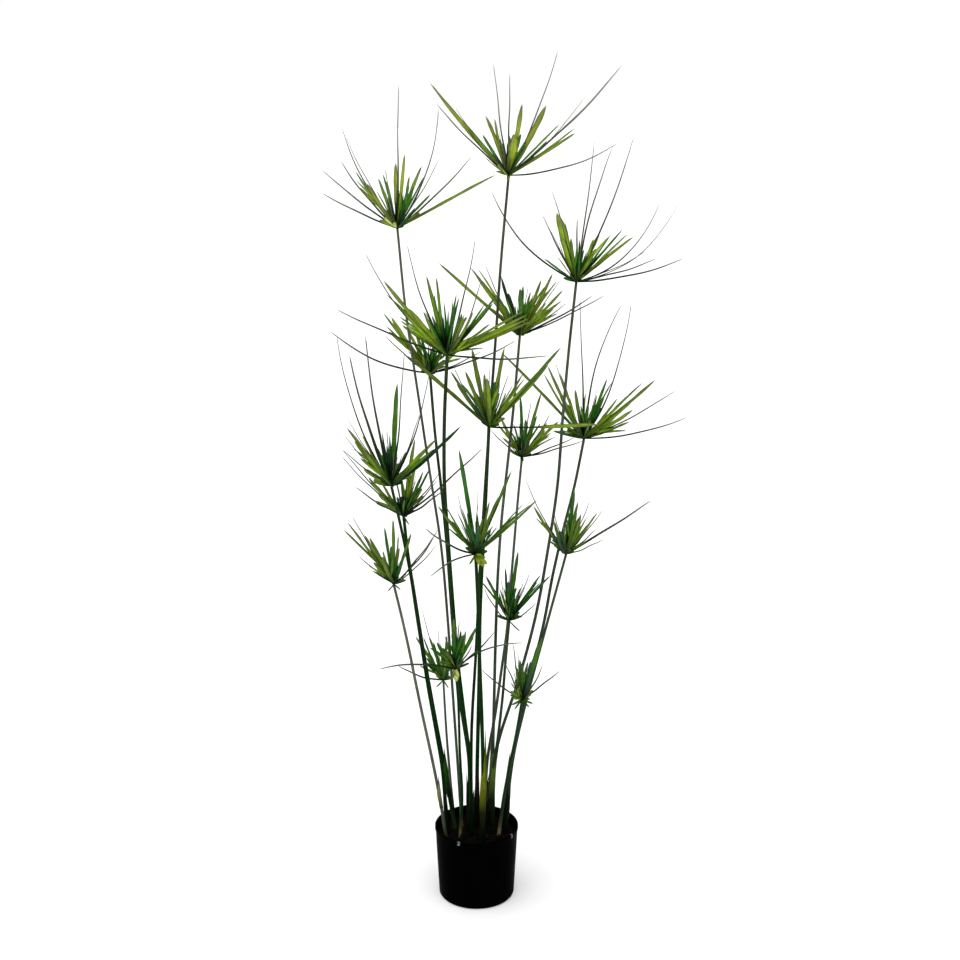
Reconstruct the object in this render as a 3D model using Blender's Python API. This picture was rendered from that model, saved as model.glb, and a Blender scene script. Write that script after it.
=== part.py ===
"""A potted umbrella sedge: eighteen slender stems in a round nursery pot, each with one whorl of bracts.

Metres, +Z up. The origin is the middle of the pot's foot, on the ground, and -Y faces the viewer.
Heads, stems and bract tips are given in millimetres as they are seen from the front, on the upright
plane through the pot's middle. Each is then carried along the eye's sight line to its own depth.
"""

import math
from collections import namedtuple

import bmesh
import bpy
from mathutils import Vector
from mathutils.kdtree import KDTree

MM = 0.001
SHARP_ANGLE = math.radians(50)

# Where the front view is seen from, in mm
EYE = Vector((5.0, -1980.0, 1170.0))

# Pot, in mm
POT_RIM_RADIUS = 60.6
POT_FOOT_RADIUS = 55.0
POT_HEIGHT = 108.0
POT_WALL = 2.0
POT_LIP_HEIGHT = 6.0
POT_LIP_STEP = 0.8
POT_FOOT_ROUND = 4.0
POT_SIDES = 36

# Soil, in mm
SOIL_LEVEL = 98.0
SOIL_CROWN = 3.0
SOIL_CROWN_REACH = 0.8
SOIL_SIDES = 24
ROOT_DEPTH = 20.0
CLEARANCE = 0.3

# Stems, in mm
STEM_SIDES = 6
STEM_RINGS = 8
STEM_FOOT_SWELL = 1.15
STEM_TOP_TAPER = 0.85
SHEATH_SWELL = 1.45
SHEATH_BULGE = 0.25
SHEATH_TAPER = 0.9
SHEATH_EDGE = 4.0

# Umbels, in mm
HUB_RISE = 6.0
HUB_RADIUS = 6.5
ROOT_MOST = 1.3
ROOT_SHARE = 0.8
LEAF_SHOULDER = 0.42
LEAF_KEEL = 0.24
LEAF_ARCH = 0.02
THREAD_WIDTH = 1.5
THREAD_KEEL = 0.8
THREAD_BENDS = (0.34, 0.68)
THREAD_REACH = 1.3
HEARTS = 6
HEART_WIDTH = 4.5
HEART_LIFTS = (50, 75, 60)
HEART_REACHES = (0.5, 0.42, 0.46)
HEART_TURNS = 8
GOLDEN_ANGLE = math.radians(137.508)

# How a bract finds its own depth: lengths that it may have, as shares of its reach, the least that it
# turns forward or back, how steeply it may rise, and the room in which nothing touches it
REACH_SHARES = (0.86, 1.0, 1.14)
LEAST_TURN = 0.16
LEAST_RISE = 0.1
MOST_RISE = 0.93
FREE_ANGLE = math.radians(10)
FREE_GAP = 9.0
SPACING = 8.0
FACING = 1.4

# One stem and its umbel. head is (x, height) and depth is y, root is (x, y) in the pot, radius is the
# stem's, sheath is its foot sheath's height over the soil, reach is a long bract's length, and bends are
# (x, height) from the head down. leaves are (right, up, width) and threads are (right, up, bow in
# hundredths), each from the head to a tip.
Culm = namedtuple("Culm", "head depth root radius sheath reach bends leaves threads")

# One bract: the middles of its cross sections from the hub out, its tip, and its sections' size
Bract = namedtuple("Bract", "bends tip width keel")

CULMS = (
    Culm((42, 1036), 55, (-8, 32), 1.9, 30, 130,
         ((34, 950), (29, 850), (24, 800), (14, 650), (5, 500), (-2, 350), (-8, 230)),
         ((-101, 118, 6), (-93, 92, 3), (-69, 88, 3), (-34, 55, 3.5), (-30, 77, 4.5), (-22, 67, 3.5),
          (12, 55, 4), (17, 92, 6), (48, 90, 5.5), (65, 66, 3), (86, 62, 3.5), (87, 56, 3)),
         ((-20, 142, 3), (1, 130, -3), (62, 158, 3), (144, 140, 3), (143, 44, 7))),
    Culm((-103, 968), -75, (-20, -27), 1.6, 22, 120,
         ((-99, 930), (-92.5, 850), (-86, 800), (-71.5, 700), (-58.7, 600), (-45.5, 500), (-33, 300),
          (-27, 200)),
         ((-39, 60, 5.5), (-54, 78, 3.5), (-22, 66, 4), (-1, 86, 5), (11, 98, 4), (16, 57, 3.5),
          (33, 82, 4.5), (130, 71, 5)),
         ((-99, 48, 2), (-98, 78, 2), (-73, 90, 4), (-70, 132, 6), (4, 183, -3), (55, 155, 8),
          (98, 95, 3))),
    Culm((132, 898), 70, (13, 8), 2.0, 34, 120,
         ((128, 850), (118.5, 750), (114, 650), (102, 550), (87, 450), (64, 350), (35, 250), (17, 190)),
         ((-27, 90, 6.5), (-37, 105, 3.5), (-8, 58, 4.5), (30, 66, 5), (60, 71, 3.5), (75, 61, 4.5),
          (40, 52, 4), (107, 33, 3)),
         ((-113, 122, 10), (-46, 90, 1), (45, 178, -6), (21, 187, 2), (72, 192, 4), (108, 107, 12),
          (142, 33, 4))),
    Culm((-39, 800), -95, (-8, -14), 2.4, 26, 125,
         ((-43.5, 700), (-43, 600), (-36, 500), (-30, 400), (-20, 300), (-9, 200)),
         ((-84, 102, 6), (-65, 66, 3.5), (-50, 64, 6), (-47, 46, 5), (-27, 108, 4.5), (-17, 84, 4),
          (13, 82, 4.5), (20, 57, 4), (33, 62, 3.5), (62, 70, 3.5), (112, 47, 7), (108, 56, 6),
          (138, 1, 3)),
         ((-148, 64, 2), (-108, 140, 6), (-52, 150, 4), (38, 158, 5), (46, 105, 9))),
    Culm((-62, 775), 25, (-12, 12), 1.9, 18, 100,
         ((-56.6, 700), (-46.5, 600), (-38.5, 500), (-32.5, 400), (-23, 300), (-10.5, 200)),
         ((-51, 78, 6.5), (-62, 84, 4.5), (-30, 62, 4.5), (-14, 70, 4), (22, 45, 5), (38, 34, 5)),
         ((-134, 60, 7), (-58, 54, 3), (116, 47, 4))),
    Culm((58, 827), 88, (20, 22), 1.9, 30, 105,
         ((52, 750), (42.6, 650), (33, 550), (28.4, 450), (25.4, 320), (23.6, 230)),
         ((-108, 98, 3.5), (-66, 92, 4.5), (-18, 60, 4), (-1, 63, 6), (10, 50, 4), (28, 76, 4.5),
          (43, 84, 4.5), (57, 62, 4), (35, 45, 6)),
         ((-47, 97, 3), (53, 76, 2), (97, 55, 3), (114, 56, 2))),
    Culm((17, 701), -25, (0, 14), 2.4, 48, 115,
         ((15, 650), (10.4, 550), (5.5, 450), (4, 350), (2, 250), (0.5, 180)),
         ((-110, 100, 4.5), (-52, 79, 4), (-32, 79, 4.5), (-23, 110, 5), (-3, 70, 6), (8, 65, 6),
          (21, 112, 4.5), (32, 50, 4), (97, 112, 4), (46, 76, 3.5), (55, 66, 3.5)),
         ((-47, 84, 3), (26, 74, 2), (150, 5, 2))),
    Culm((146, 685), 120, (40, 18), 2.0, 30, 115,
         ((142, 650), (129.5, 600), (108, 500), (91, 400), (70, 310), (51, 210)),
         ((-115, 122, 4), (-47, 102, 5), (-13, 70, 4.5), (5, 50, 4), (30, 85, 4.5), (28, 65, 4.5),
          (96, 84, 5), (55, 55, 4.5), (60, 36, 5)),
         ((-40, 107, 3), (-9, 195, -3), (48, 186, -9), (60, 190, 8), (125, 70, 3), (141, 32, 5))),
    Culm((62, 659), 150, (11, 34), 1.8, 26, 95,
         ((57, 600), (49.5, 500), (42, 400), (30, 310), (22, 240), (14, 200)),
         ((-28, 55, 4), (-22, 38, 4.5), (-3, 88, 3.5), (5, 55, 6), (26, 92, 4.5), (50, 52, 4.5),
          (32, 40, 4.5)),
         ((-43, 40, 2), (12, 80, 2), (36, 58, 2), (72, 30, 2), (84, 25, 2))),
    Culm((-116, 618), -45, (-42, -4), 1.9, 40, 115,
         ((-104, 560), (-93, 500), (-79.5, 400), (-65.5, 300), (-50, 200)),
         ((-60, 84, 5), (-38, 52, 7), (-18, 55, 5), (10, 146, 5), (-12, 78, 3.5), (-2, 73, 3.5),
          (62, 68, 4), (70, 62, 3.5), (96, 87, 3)),
         ((-70, 212, 7), (-54, 185, 6), (-32, 212, 5), (20, 190, 4), (-65, 75, 2), (-66, 53, 2),
          (53, 160, 8))),
    Culm((-100, 575), 45, (-32, 10), 2.3, 34, 95,
         ((-96, 530), (-85, 450), (-71, 350), (-55, 250), (-42, 170)),
         ((-42, 50, 6), (-35, 34, 5), (17, 112, 5), (26, 42, 5), (28, 66, 3.5), (37, 70, 3.5)),
         ((-66, 44, 3), (-84, 98, 2), (-84, 88, 2), (54, 38, 2), (110, 100, 2))),
    Culm((-115, 476), -110, (-44, -21), 1.5, 14, 95,
         ((-99, 400), (-81, 300), (-62, 200), (-52, 140)),
         ((-64, 93, 5), (-40, 74, 4), (-33, 70, 3.5), (-16, 42, 5), (-11, 85, 3.5), (0, 97, 4),
          (25, 77, 3.5), (55, 71, 3)),
         ((-57, 103, 2), (-49, 44, 2), (17, 52, 2), (62, 82, 2), (60, 60, 2))),
    Culm((-1, 520), -125, (8, -32), 2.3, 60, 110,
         ((2, 450), (5, 350), (8.3, 250), (9.5, 160)),
         ((-23, 153, 5), (-15, 65, 4), (-52, 72, 5), (-70, 40, 3), (4, 45, 4.5), (50, 123, 5),
          (85, 81, 3.5), (55, 58, 3.5), (15, -8, 8)),
         ((-64, -32, -9), (-25, 90, 2), (2, 72, 2))),
    Culm((124, 520), -20, (41, -6), 1.9, 36, 90,
         ((106.8, 450), (92, 390), (70.5, 300), (51.5, 205)),
         ((-46, 72, 4), (10, 98, 4), (8, 55, 7), (16, 78, 4.5), (20, 60, 5), (43, 62, 4.5),
          (117, 80, 3.5), (-9, 36, 4)),
         ((-58, 113, 3), (-17, 62, 2), (32, 80, 2), (41, 38, 2), (53, 24, 2))),
    Culm((46, 422), 15, (23, -8), 1.8, 24, 80,
         ((41, 360), (36.5, 300), (29, 230), (23, 180)),
         ((-33, 68, 4), (-1, 60, 5.5), (-6, 80, 3.5), (12, 105, 4), (6, 36, 6), (44, 70, 4),
          (58, 69, 3.5)),
         ((-35, 50, 2), (-13, 68, 2), (20, 60, 2), (28, 72, 2), (38, 28, 3))),
    Culm((-47, 332), 95, (-34, 27), 1.6, 50, 75,
         ((-43, 250), (-38, 180)),
         ((-39, 68, 4), (-20, 68, 3.5), (0, 50, 5), (6, 38, 6), (5, 70, 3), (-24, 36, 4)),
         ((-30, 110, 2), (-27, 62, 2), (-64, 24, 5), (-7, 80, 2))),
    Culm((-30, 349), -105, (-24, -40), 2.2, 32, 80,
         ((-26, 300), (-24, 220), (-21, 150)),
         ((-3, 60, 6), (-2, 75, 5.5), (8, 60, 4.5), (30, 65, 4.5), (-26, 42, 4), (5, -8, 6)),
         ((6, 76, 2), (56, 58, 3), (98, 41, -8), (-109, 1, -4), (24, 38, 2))),
    Culm((65, 303), -105, (31, -30), 2.2, 44, 75,
         ((57, 250), (46, 190), (38, 140)),
         ((-4, 60, 6), (28, 95, 5), (-16, 14, 5), (-10, 32, 4.5), (12, 44, 4.5)),
         ((-14, 88, 2), (-24, 56, 2), (-58, 47, 3), (29, 55, 4), (53, 45, 2), (-7, 78, 2))),
)

POT_BLACK = ((0.012, 0.012, 0.013), 0.35)
SOIL_BROWN = ((0.035, 0.024, 0.016), 0.95)
STEM_GREEN = ((0.045, 0.12, 0.03), 0.5)
BRACT_GREEN = ((0.20, 0.30, 0.03), 0.55)


def clear_scene():
    for obj in list(bpy.data.objects):
        bpy.data.objects.remove(obj, do_unlink=True)


def finish_material(name, look):
    colour, roughness = look
    material = bpy.data.materials.new(name)
    material.use_nodes = True
    shader = material.node_tree.nodes["Principled BSDF"]
    shader.inputs["Base Color"].default_value = (*colour, 1.0)
    shader.inputs["Roughness"].default_value = roughness
    shader.inputs["Metallic"].default_value = 0.0
    material.diffuse_color = (*colour, 1.0)
    return material


def object_from(name, bm, material):
    """Makes the node from a mesh that was drawn in millimetres."""
    bmesh.ops.scale(bm, vec=(MM, MM, MM), verts=bm.verts)
    bmesh.ops.recalc_face_normals(bm, faces=bm.faces)
    mesh = bpy.data.meshes.new(name)
    bm.to_mesh(mesh)
    bm.free()
    mesh.shade_smooth()
    mesh.set_sharp_from_angle(angle=SHARP_ANGLE)
    mesh.materials.append(material)
    obj = bpy.data.objects.new(name, mesh)
    bpy.context.scene.collection.objects.link(obj)
    return obj


def circle_point(radius, height, side, sides):
    angle = 2 * math.pi * side / sides
    return Vector((radius * math.cos(angle), radius * math.sin(angle), height))


def turned(profile, sides):
    """A closed body of revolution from (radius, height) points that start and end on the axis."""
    bm = bmesh.new()
    rings = []
    for radius, height in profile:
        if radius == 0:
            rings.append([bm.verts.new((0, 0, height))])
        else:
            rings.append([bm.verts.new(circle_point(radius, height, k, sides)) for k in range(sides)])
    for low, high in zip(rings, rings[1:]):
        for k in range(sides):
            corners = [low[k % len(low)], low[(k + 1) % sides % len(low)],
                       high[(k + 1) % sides % len(high)], high[k % len(high)]]
            bm.faces.new(list(dict.fromkeys(corners)))
    return bm


def pot_radius(height):
    """The outer radius of the tapered wall at a height."""
    return POT_FOOT_RADIUS + (POT_RIM_RADIUS - POT_LIP_STEP - POT_FOOT_RADIUS) * height / POT_HEIGHT


def make_pot(material):
    lip_foot = POT_HEIGHT - POT_LIP_HEIGHT
    inside_floor = POT_WALL
    corner = POT_FOOT_ROUND * (1 - math.sqrt(0.5))
    profile = (
        (0, 0),
        (POT_FOOT_RADIUS - POT_FOOT_ROUND, 0),
        (POT_FOOT_RADIUS - corner, corner),
        (pot_radius(POT_FOOT_ROUND), POT_FOOT_ROUND),
        (pot_radius(lip_foot), lip_foot),
        (POT_RIM_RADIUS, lip_foot + POT_LIP_STEP),
        (POT_RIM_RADIUS, POT_HEIGHT - POT_LIP_STEP / 2),
        (POT_RIM_RADIUS - POT_LIP_STEP / 2, POT_HEIGHT),
        (pot_radius(POT_HEIGHT) - POT_WALL, POT_HEIGHT),
        (pot_radius(inside_floor) - POT_WALL, inside_floor),
        (0, inside_floor),
    )
    return object_from("pot", turned(profile, POT_SIDES), material)


def at_depth(x, height, depth):
    """Carries a place of the front view along its sight line to a depth."""
    seen = Vector((x, 0.0, height))
    return EYE + (seen - EYE) * ((depth - EYE.y) / -EYE.y)


def head_of(culm):
    return at_depth(*culm.head, culm.depth)


def stem_places(culm):
    """The stem's own places from its root in the pot up to its head."""
    root = Vector((*culm.root, SOIL_LEVEL))
    root_height = EYE.z + (root.z - EYE.z) * EYE.y / (EYE.y - root.y)
    places = [head_of(culm)]
    for x, height in culm.bends:
        share = (height - root_height) / (culm.head[1] - root_height)
        places.append(at_depth(x, height, root.y + (culm.depth - root.y) * share))
    places.append(root)
    places.reverse()
    return places


def smooth_place(places, along):
    """A point of the smooth curve through places. along runs from 0 to 1."""
    spans = len(places) - 1
    first = min(int(along * spans), spans - 1)
    t = along * spans - first
    before = places[max(first - 1, 0)]
    start, end = places[first], places[first + 1]
    after = places[min(first + 2, spans)]
    return 0.5 * (2 * start + (end - before) * t
                  + (2 * before - 5 * start + 4 * end - after) * t ** 2
                  + (3 * start - before - 3 * end + after) * t ** 3)


def stem_rings(culm, extra=0.0):
    """(centre, radius) of each ring from the root's tip up to the head."""
    places = stem_places(culm)
    rise = (places[1] - places[0]).normalized()
    foot = culm.radius * STEM_FOOT_SWELL
    swell = foot * SHEATH_SWELL
    sheath_top = places[0] + rise * culm.sheath
    rings = [(places[0] - rise * (ROOT_DEPTH + extra), foot), (places[0], foot)]
    rings.append((places[0] + rise * culm.sheath * SHEATH_BULGE, swell))
    rings.append((sheath_top, swell * SHEATH_TAPER))
    rings.append((sheath_top + rise * SHEATH_EDGE, foot))
    low = rings[-1][0].z
    for ring in range(1, STEM_RINGS + 1):
        height = low + (places[-1].z - low) * ring / STEM_RINGS
        share = ring / STEM_RINGS
        radius = foot + (culm.radius * STEM_TOP_TAPER - foot) * share
        rings.append((place_at_height(places, height), radius))
    top, radius = rings[-1]
    rings[-1] = (top - Vector((0, 0, CLEARANCE)), radius)
    return [(centre, radius + extra) for centre, radius in rings]


def place_at_height(places, height):
    """The stem's centre at a height, found by halving."""
    low, high = 0.0, 1.0
    for _ in range(40):
        middle = (low + high) / 2
        if smooth_place(places, middle).z < height:
            low = middle
        else:
            high = middle
    return smooth_place(places, (low + high) / 2)


def rod(rings, sides):
    """A closed rod through level rings."""
    bm = bmesh.new()
    drawn = []
    for centre, radius in rings:
        drawn.append([bm.verts.new(centre + circle_point(radius, 0, k, sides)) for k in range(sides)])
    for low, high in zip(drawn, drawn[1:]):
        for k in range(sides):
            after = (k + 1) % sides
            bm.faces.new((low[k], low[after], high[after], high[k]))
    bm.faces.new(list(reversed(drawn[0])))
    bm.faces.new(drawn[-1])
    return bm


def make_stem(number, culm, material):
    return object_from(f"stem_{number:02d}", rod(stem_rings(culm), STEM_SIDES), material)


def make_soil(material):
    floor = POT_WALL + CLEARANCE
    profile = (
        (0, floor),
        (pot_radius(floor) - POT_WALL - CLEARANCE, floor),
        (pot_radius(SOIL_LEVEL - SOIL_CROWN) - POT_WALL - CLEARANCE, SOIL_LEVEL - SOIL_CROWN),
        (POT_FOOT_RADIUS * SOIL_CROWN_REACH, SOIL_LEVEL),
        (0, SOIL_LEVEL),
    )
    soil = object_from("soil", turned(profile, SOIL_SIDES), material)
    for number, culm in enumerate(CULMS, 1):
        hole = rod(stem_rings(culm, CLEARANCE)[:3], STEM_SIDES)
        socket = object_from(f"socket_{number:02d}", hole, material)
        socket.hide_render = True
        socket.display_type = "WIRE"
        cut = soil.modifiers.new(socket.name, "BOOLEAN")
        cut.operation = "DIFFERENCE"
        cut.solver = "EXACT"
        cut.object = socket
    return soil


def sag_of(chord):
    """The direction in which a bract hangs under its own chord."""
    along = chord.normalized()
    down = Vector((0, 0, -1))
    sag = down - along * down.dot(along)
    return sag.normalized() if sag.length > 0.05 else Vector((1, 0, 0))


def width_of(chord, foot):
    """The direction of a bract's width: partly level, partly turned to face the viewer."""
    level = chord.cross(Vector((0, 0, 1))).normalized()
    facing = chord.cross(foot - EYE).normalized()
    if level.dot(facing) < 0:
        facing.negate()
    return (level + FACING * facing).normalized()


def blade(foot, tip, width):
    """A leaf-like bract, widest at its shoulder."""
    chord = tip - foot
    shoulder = foot + chord * LEAF_SHOULDER + sag_of(chord) * chord.length * LEAF_ARCH
    return Bract((shoulder,), tip, width, width * LEAF_KEEL)


def strand(foot, tip, bow):
    """A thread-like bract that sags, or where bow is under 0 arches."""
    chord = tip - foot
    sag = sag_of(chord) * chord.length * bow * 4
    bends = tuple(foot + chord * share + sag * share * (1 - share) for share in THREAD_BENDS)
    return Bract(bends, tip, THREAD_WIDTH, THREAD_WIDTH * THREAD_KEEL)


def aim_of(bract, foot):
    return (bract.bends[0] - foot).normalized()


def along_lines(places):
    """Places about SPACING apart along the straight lines through places."""
    for start, end in zip(places, places[1:]):
        steps = max(1, round((end - start).length / SPACING))
        for step in range(steps):
            yield start.lerp(end, (step + 0.5) / steps)


def tips_at(culm, right, up, reach):
    """Tips seen at (right, up) from the head, in front of and behind it, at about the real reach."""
    seen = math.hypot(right, up)
    foot = head_of(culm)
    tips = []
    for share in REACH_SHARES:
        length = share * max(reach, seen)
        offset = math.sqrt(max(length ** 2 - seen ** 2, (LEAST_TURN * seen) ** 2))
        for depth in (culm.depth + offset, culm.depth - offset):
            tips.append(at_depth(culm.head[0] + right, culm.head[1] + up, depth))
    upright = [tip for tip in tips if LEAST_RISE < (tip - foot).normalized().z < MOST_RISE]
    return upright or tips


def heart_tips(foot, heart, reach):
    """Tips all round the hub's middle for one short inner bract."""
    lift = math.radians(HEART_LIFTS[heart % len(HEART_LIFTS)])
    length = reach * HEART_REACHES[heart % len(HEART_REACHES)]
    for turn in range(HEART_TURNS):
        azimuth = GOLDEN_ANGLE * (heart + turn * HEARTS)
        level = math.cos(lift)
        aim = Vector((math.cos(azimuth) * level, math.sin(azimuth) * level, math.sin(lift)))
        yield foot + aim * length


def freest(choices, foot, placed, taken):
    """The choice with most room: from its own umbel's bracts in angle, from all else in distance."""

    def room(bract):
        aim = aim_of(bract, foot)
        own = min((aim.angle(aim_of(other, foot)) for other in placed), default=math.pi)
        near = min(taken.find(place)[2] for place in along_lines((foot, *bract.bends, bract.tip)))
        return min(own / FREE_ANGLE, near / FREE_GAP)

    return max(choices, key=room)


def place_bracts(culm, taken):
    foot = head_of(culm) + Vector((0, 0, HUB_RISE))
    placed = []
    for right, up, width in culm.leaves:
        choices = [blade(foot, tip, width) for tip in tips_at(culm, right, up, culm.reach)]
        placed.append(freest(choices, foot, placed, taken))
    for right, up, bow in culm.threads:
        tips = tips_at(culm, right, up, culm.reach * THREAD_REACH)
        placed.append(freest([strand(foot, tip, bow / 100) for tip in tips], foot, placed, taken))
    for heart in range(HEARTS):
        choices = [blade(foot, tip, HEART_WIDTH) for tip in heart_tips(foot, heart, culm.reach)]
        placed.append(freest(choices, foot, placed, taken))
    return placed


def root_size(bract, placed, foot):
    """Half the width of a bract's root, small enough that its neighbours' roots stay clear of it."""
    aim = aim_of(bract, foot)
    nearest = min(aim.angle(aim_of(other, foot)) for other in placed if other is not bract)
    return min(ROOT_MOST, ROOT_SHARE * HUB_RADIUS * math.tan(nearest / 2))


def corners(bm, centre, across, under, half_width, keel):
    """The three corners of a keeled cross section."""
    places = (centre + across * half_width, centre - across * half_width, centre + under * keel)
    return [bm.verts.new(place) for place in places]


def grow(bm, root, rings, tip):
    """Grows one bract out of the hub face between its root's corners."""
    bm.faces.remove(bm.faces.get(root))
    for low, high in zip([root] + rings, rings):
        for k in range(3):
            after = (k + 1) % 3
            bm.faces.new((low[k], low[after], high[after]))
            bm.faces.new((low[k], high[after], high[k]))
    apex = bm.verts.new(tip)
    for k in range(3):
        bm.faces.new((rings[-1][k], rings[-1][(k + 1) % 3], apex))


def make_umbel(number, culm, placed, material):
    """The hub is the hull of the stem's top and the bracts' roots, and each bract grows out of its root."""
    head = head_of(culm)
    foot = head + Vector((0, 0, HUB_RISE))
    bm = bmesh.new()
    for side in range(STEM_SIDES):
        bm.verts.new(head + circle_point(culm.radius * STEM_TOP_TAPER, 0, side, STEM_SIDES))
    sides = []
    roots = []
    for bract in placed:
        chord = bract.tip - foot
        across = width_of(chord, foot)
        under = chord.cross(across).normalized()
        if under.z > 0:
            under.negate()
        aim = aim_of(bract, foot)
        half = root_size(bract, placed, foot)
        level = (across - aim * aim.dot(across)).normalized()
        below = (under - aim * aim.dot(under)).normalized()
        sides.append((across, under))
        roots.append(corners(bm, foot + aim * HUB_RADIUS, level, below, half, half))
    bmesh.ops.convex_hull(bm, input=bm.verts)
    for bract, root, (across, under) in zip(placed, roots, sides):
        rings = [corners(bm, bend, across, under, bract.width / 2, bract.keel) for bend in bract.bends]
        grow(bm, root, rings, bract.tip)
    return object_from(f"umbel_{number:02d}", bm, material)


def tree_of(places):
    tree = KDTree(len(places))
    for index, place in enumerate(places):
        tree.insert(place, index)
    tree.balance()
    return tree


def place_umbels():
    """Each umbel's bracts, placed clear of the other stems and of the umbels before it."""
    stems = [list(along_lines([centre for centre, _ in stem_rings(culm)])) for culm in CULMS]
    before = []
    umbels = []
    for number, culm in enumerate(CULMS):
        others = [place for stem in stems[:number] + stems[number + 1:] for place in stem]
        placed = place_bracts(culm, tree_of(others + before))
        foot = head_of(culm)
        before += [place for bract in placed for place in along_lines((foot, *bract.bends, bract.tip))]
        umbels.append(placed)
    return umbels


def main():
    clear_scene()
    make_pot(finish_material("pot_black", POT_BLACK))
    make_soil(finish_material("soil_brown", SOIL_BROWN))
    stem_green = finish_material("stem_green", STEM_GREEN)
    bract_green = finish_material("bract_green", BRACT_GREEN)
    for number, (culm, placed) in enumerate(zip(CULMS, place_umbels()), 1):
        make_stem(number, culm, stem_green)
        make_umbel(number, culm, placed, bract_green)


main()
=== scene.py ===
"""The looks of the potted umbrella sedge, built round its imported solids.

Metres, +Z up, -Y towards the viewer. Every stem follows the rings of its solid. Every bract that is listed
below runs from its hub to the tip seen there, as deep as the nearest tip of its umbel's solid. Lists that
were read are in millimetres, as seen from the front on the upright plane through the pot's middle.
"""

import math
import random
from bisect import bisect_right
from collections import namedtuple

import bmesh
import bpy
from mathutils import Matrix, Vector, noise


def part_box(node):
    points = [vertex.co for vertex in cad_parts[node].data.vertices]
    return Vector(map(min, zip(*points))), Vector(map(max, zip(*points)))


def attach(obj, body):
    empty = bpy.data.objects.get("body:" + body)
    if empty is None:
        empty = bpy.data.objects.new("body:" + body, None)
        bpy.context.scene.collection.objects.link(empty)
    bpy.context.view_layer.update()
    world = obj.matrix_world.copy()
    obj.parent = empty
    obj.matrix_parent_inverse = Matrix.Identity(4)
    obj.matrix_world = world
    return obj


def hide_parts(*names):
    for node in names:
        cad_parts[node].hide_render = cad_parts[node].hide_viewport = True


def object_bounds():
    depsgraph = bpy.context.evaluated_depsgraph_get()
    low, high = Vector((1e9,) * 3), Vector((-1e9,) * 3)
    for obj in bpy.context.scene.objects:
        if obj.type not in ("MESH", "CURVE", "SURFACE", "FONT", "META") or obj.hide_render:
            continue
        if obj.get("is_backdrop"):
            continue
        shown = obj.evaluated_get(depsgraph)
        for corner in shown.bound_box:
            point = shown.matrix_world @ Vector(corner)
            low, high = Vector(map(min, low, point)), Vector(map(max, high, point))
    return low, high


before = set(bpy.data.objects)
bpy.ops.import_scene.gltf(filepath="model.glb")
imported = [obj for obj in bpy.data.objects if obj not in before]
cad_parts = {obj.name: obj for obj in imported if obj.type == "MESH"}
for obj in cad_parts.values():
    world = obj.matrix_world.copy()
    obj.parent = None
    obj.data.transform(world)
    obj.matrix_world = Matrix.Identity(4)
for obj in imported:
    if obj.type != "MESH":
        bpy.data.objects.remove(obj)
cad_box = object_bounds()

MM = 0.001
SEED = 7
SEEDS_APART = 100
BODY = "root"
UP = Vector((0, 0, 1))
RIGHT = Vector((1, 0, 0))

# Camera, which is also the eye that the lists below were read from
EYE = Vector((0.005, -1.98, 1.17))
CAMERA_PITCH = math.radians(-15.3)
FOCAL_LENGTH = 56.25
SENSOR = 36.0

# Light and floor
FLOOR_SIZE = 60.0
FLOOR_COLOUR = (0.9, 0.9, 0.9)
SKY_BAND = 1.02
SKY_TOP = 0.62
SKY_FADE = (0.3, 0.6)
KEY_STRENGTH = 2.5
KEY_ANGLE = math.radians(100)
KEY_FROM = (-0.2, -0.45, 1.0)

# Stems. A sheath's point is the share of its height that it has on one side alone.
STEM_SIDES = 16
STEM_STEPS = 56
STEM_GIRTH = 0.96
RIB_HEIGHT = 0.03
CLEARANCE = 0.0003
TURN_MAP = 0.003
SHEATH_SIDES = 14
SHEATH_STEPS = 10
SHEATH_SKIN = 0.0003
SHEATH_POINT = 0.4
POINT_POWER = 4
SHEATH_LEAN = 0.002
LEAN_POWER = 3
BULGE = ((0, 0.5), (0.4, 0.7), (0.5, 1), (0.65, 0.95), (0.8, 0.65), (1, 0.15))

# Hub, as (share of the stem's radius, height) low down and (radius, height) above
HUB_RISE = 0.0015
HUB_NECK = ((0.9, -CLEARANCE), (1.15, 0.001))
HUB_KNOB = ((0.0026, 0.003), (0.0014, 0.0052))
# The hub's look, darkened with painted shade like the feet of the bracts
HUB_LOOK = {"along": 0.1, "tone": 0.4, "side": 0.3, "dark": 0.9, "grey": 0}

# Leaf-like bracts. Facing is how much more a bract is turned to the eye than it is left level, and turned is
# how much wider it is than it looks from there.
BLADE_STEPS = 18
STEP_POWER = 1.1
ROOT_START = 0.002
FACING = 1.4
BLADE_FOLD = 0.6
FOLD_POWER = 0.8
BLADE_SKIN = 0.07
BLADE_ARCH = 0.015
BLADE_SWAY = 0.012
BLADE_TWIST = 0.5
EDGE_WAVE = 0.07
EDGE_WAVES = 23
TONE_SPREAD = 0.12
MAP_SPREAD = 10
UPRIGHT = 0.05
LEAF_ARCH = (0.0, 0.02)
TURNED = 1.3
# Painted shade at the foot of a bract, where the bracts crowd at the hub: late leaves and those under the
# dark tone get the hub's share, the others the leaf's, and the hub's share is greatest where the core is
# darker than emerald
DARK_TONE = 0.55
LEAF_FOOT_SHADE = 0.6
HUB_FOOT_SHADE = 1.0
BLACK_HUB_FOOT_SHADE = 1.8

# The second arm of a forked strip: where it starts and ends along the strip, and its start, gap and width as
# shares of the strip's width
ARM_FORK = (0.26, 0.42)
ARM_END = (0.8, 0.98)
ARM_START = 0.2
ARM_GAP = (1.4, 2.0)
ARM_WIDTH = 0.62
ARM_TONE = (-0.3, 0.2)

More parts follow.
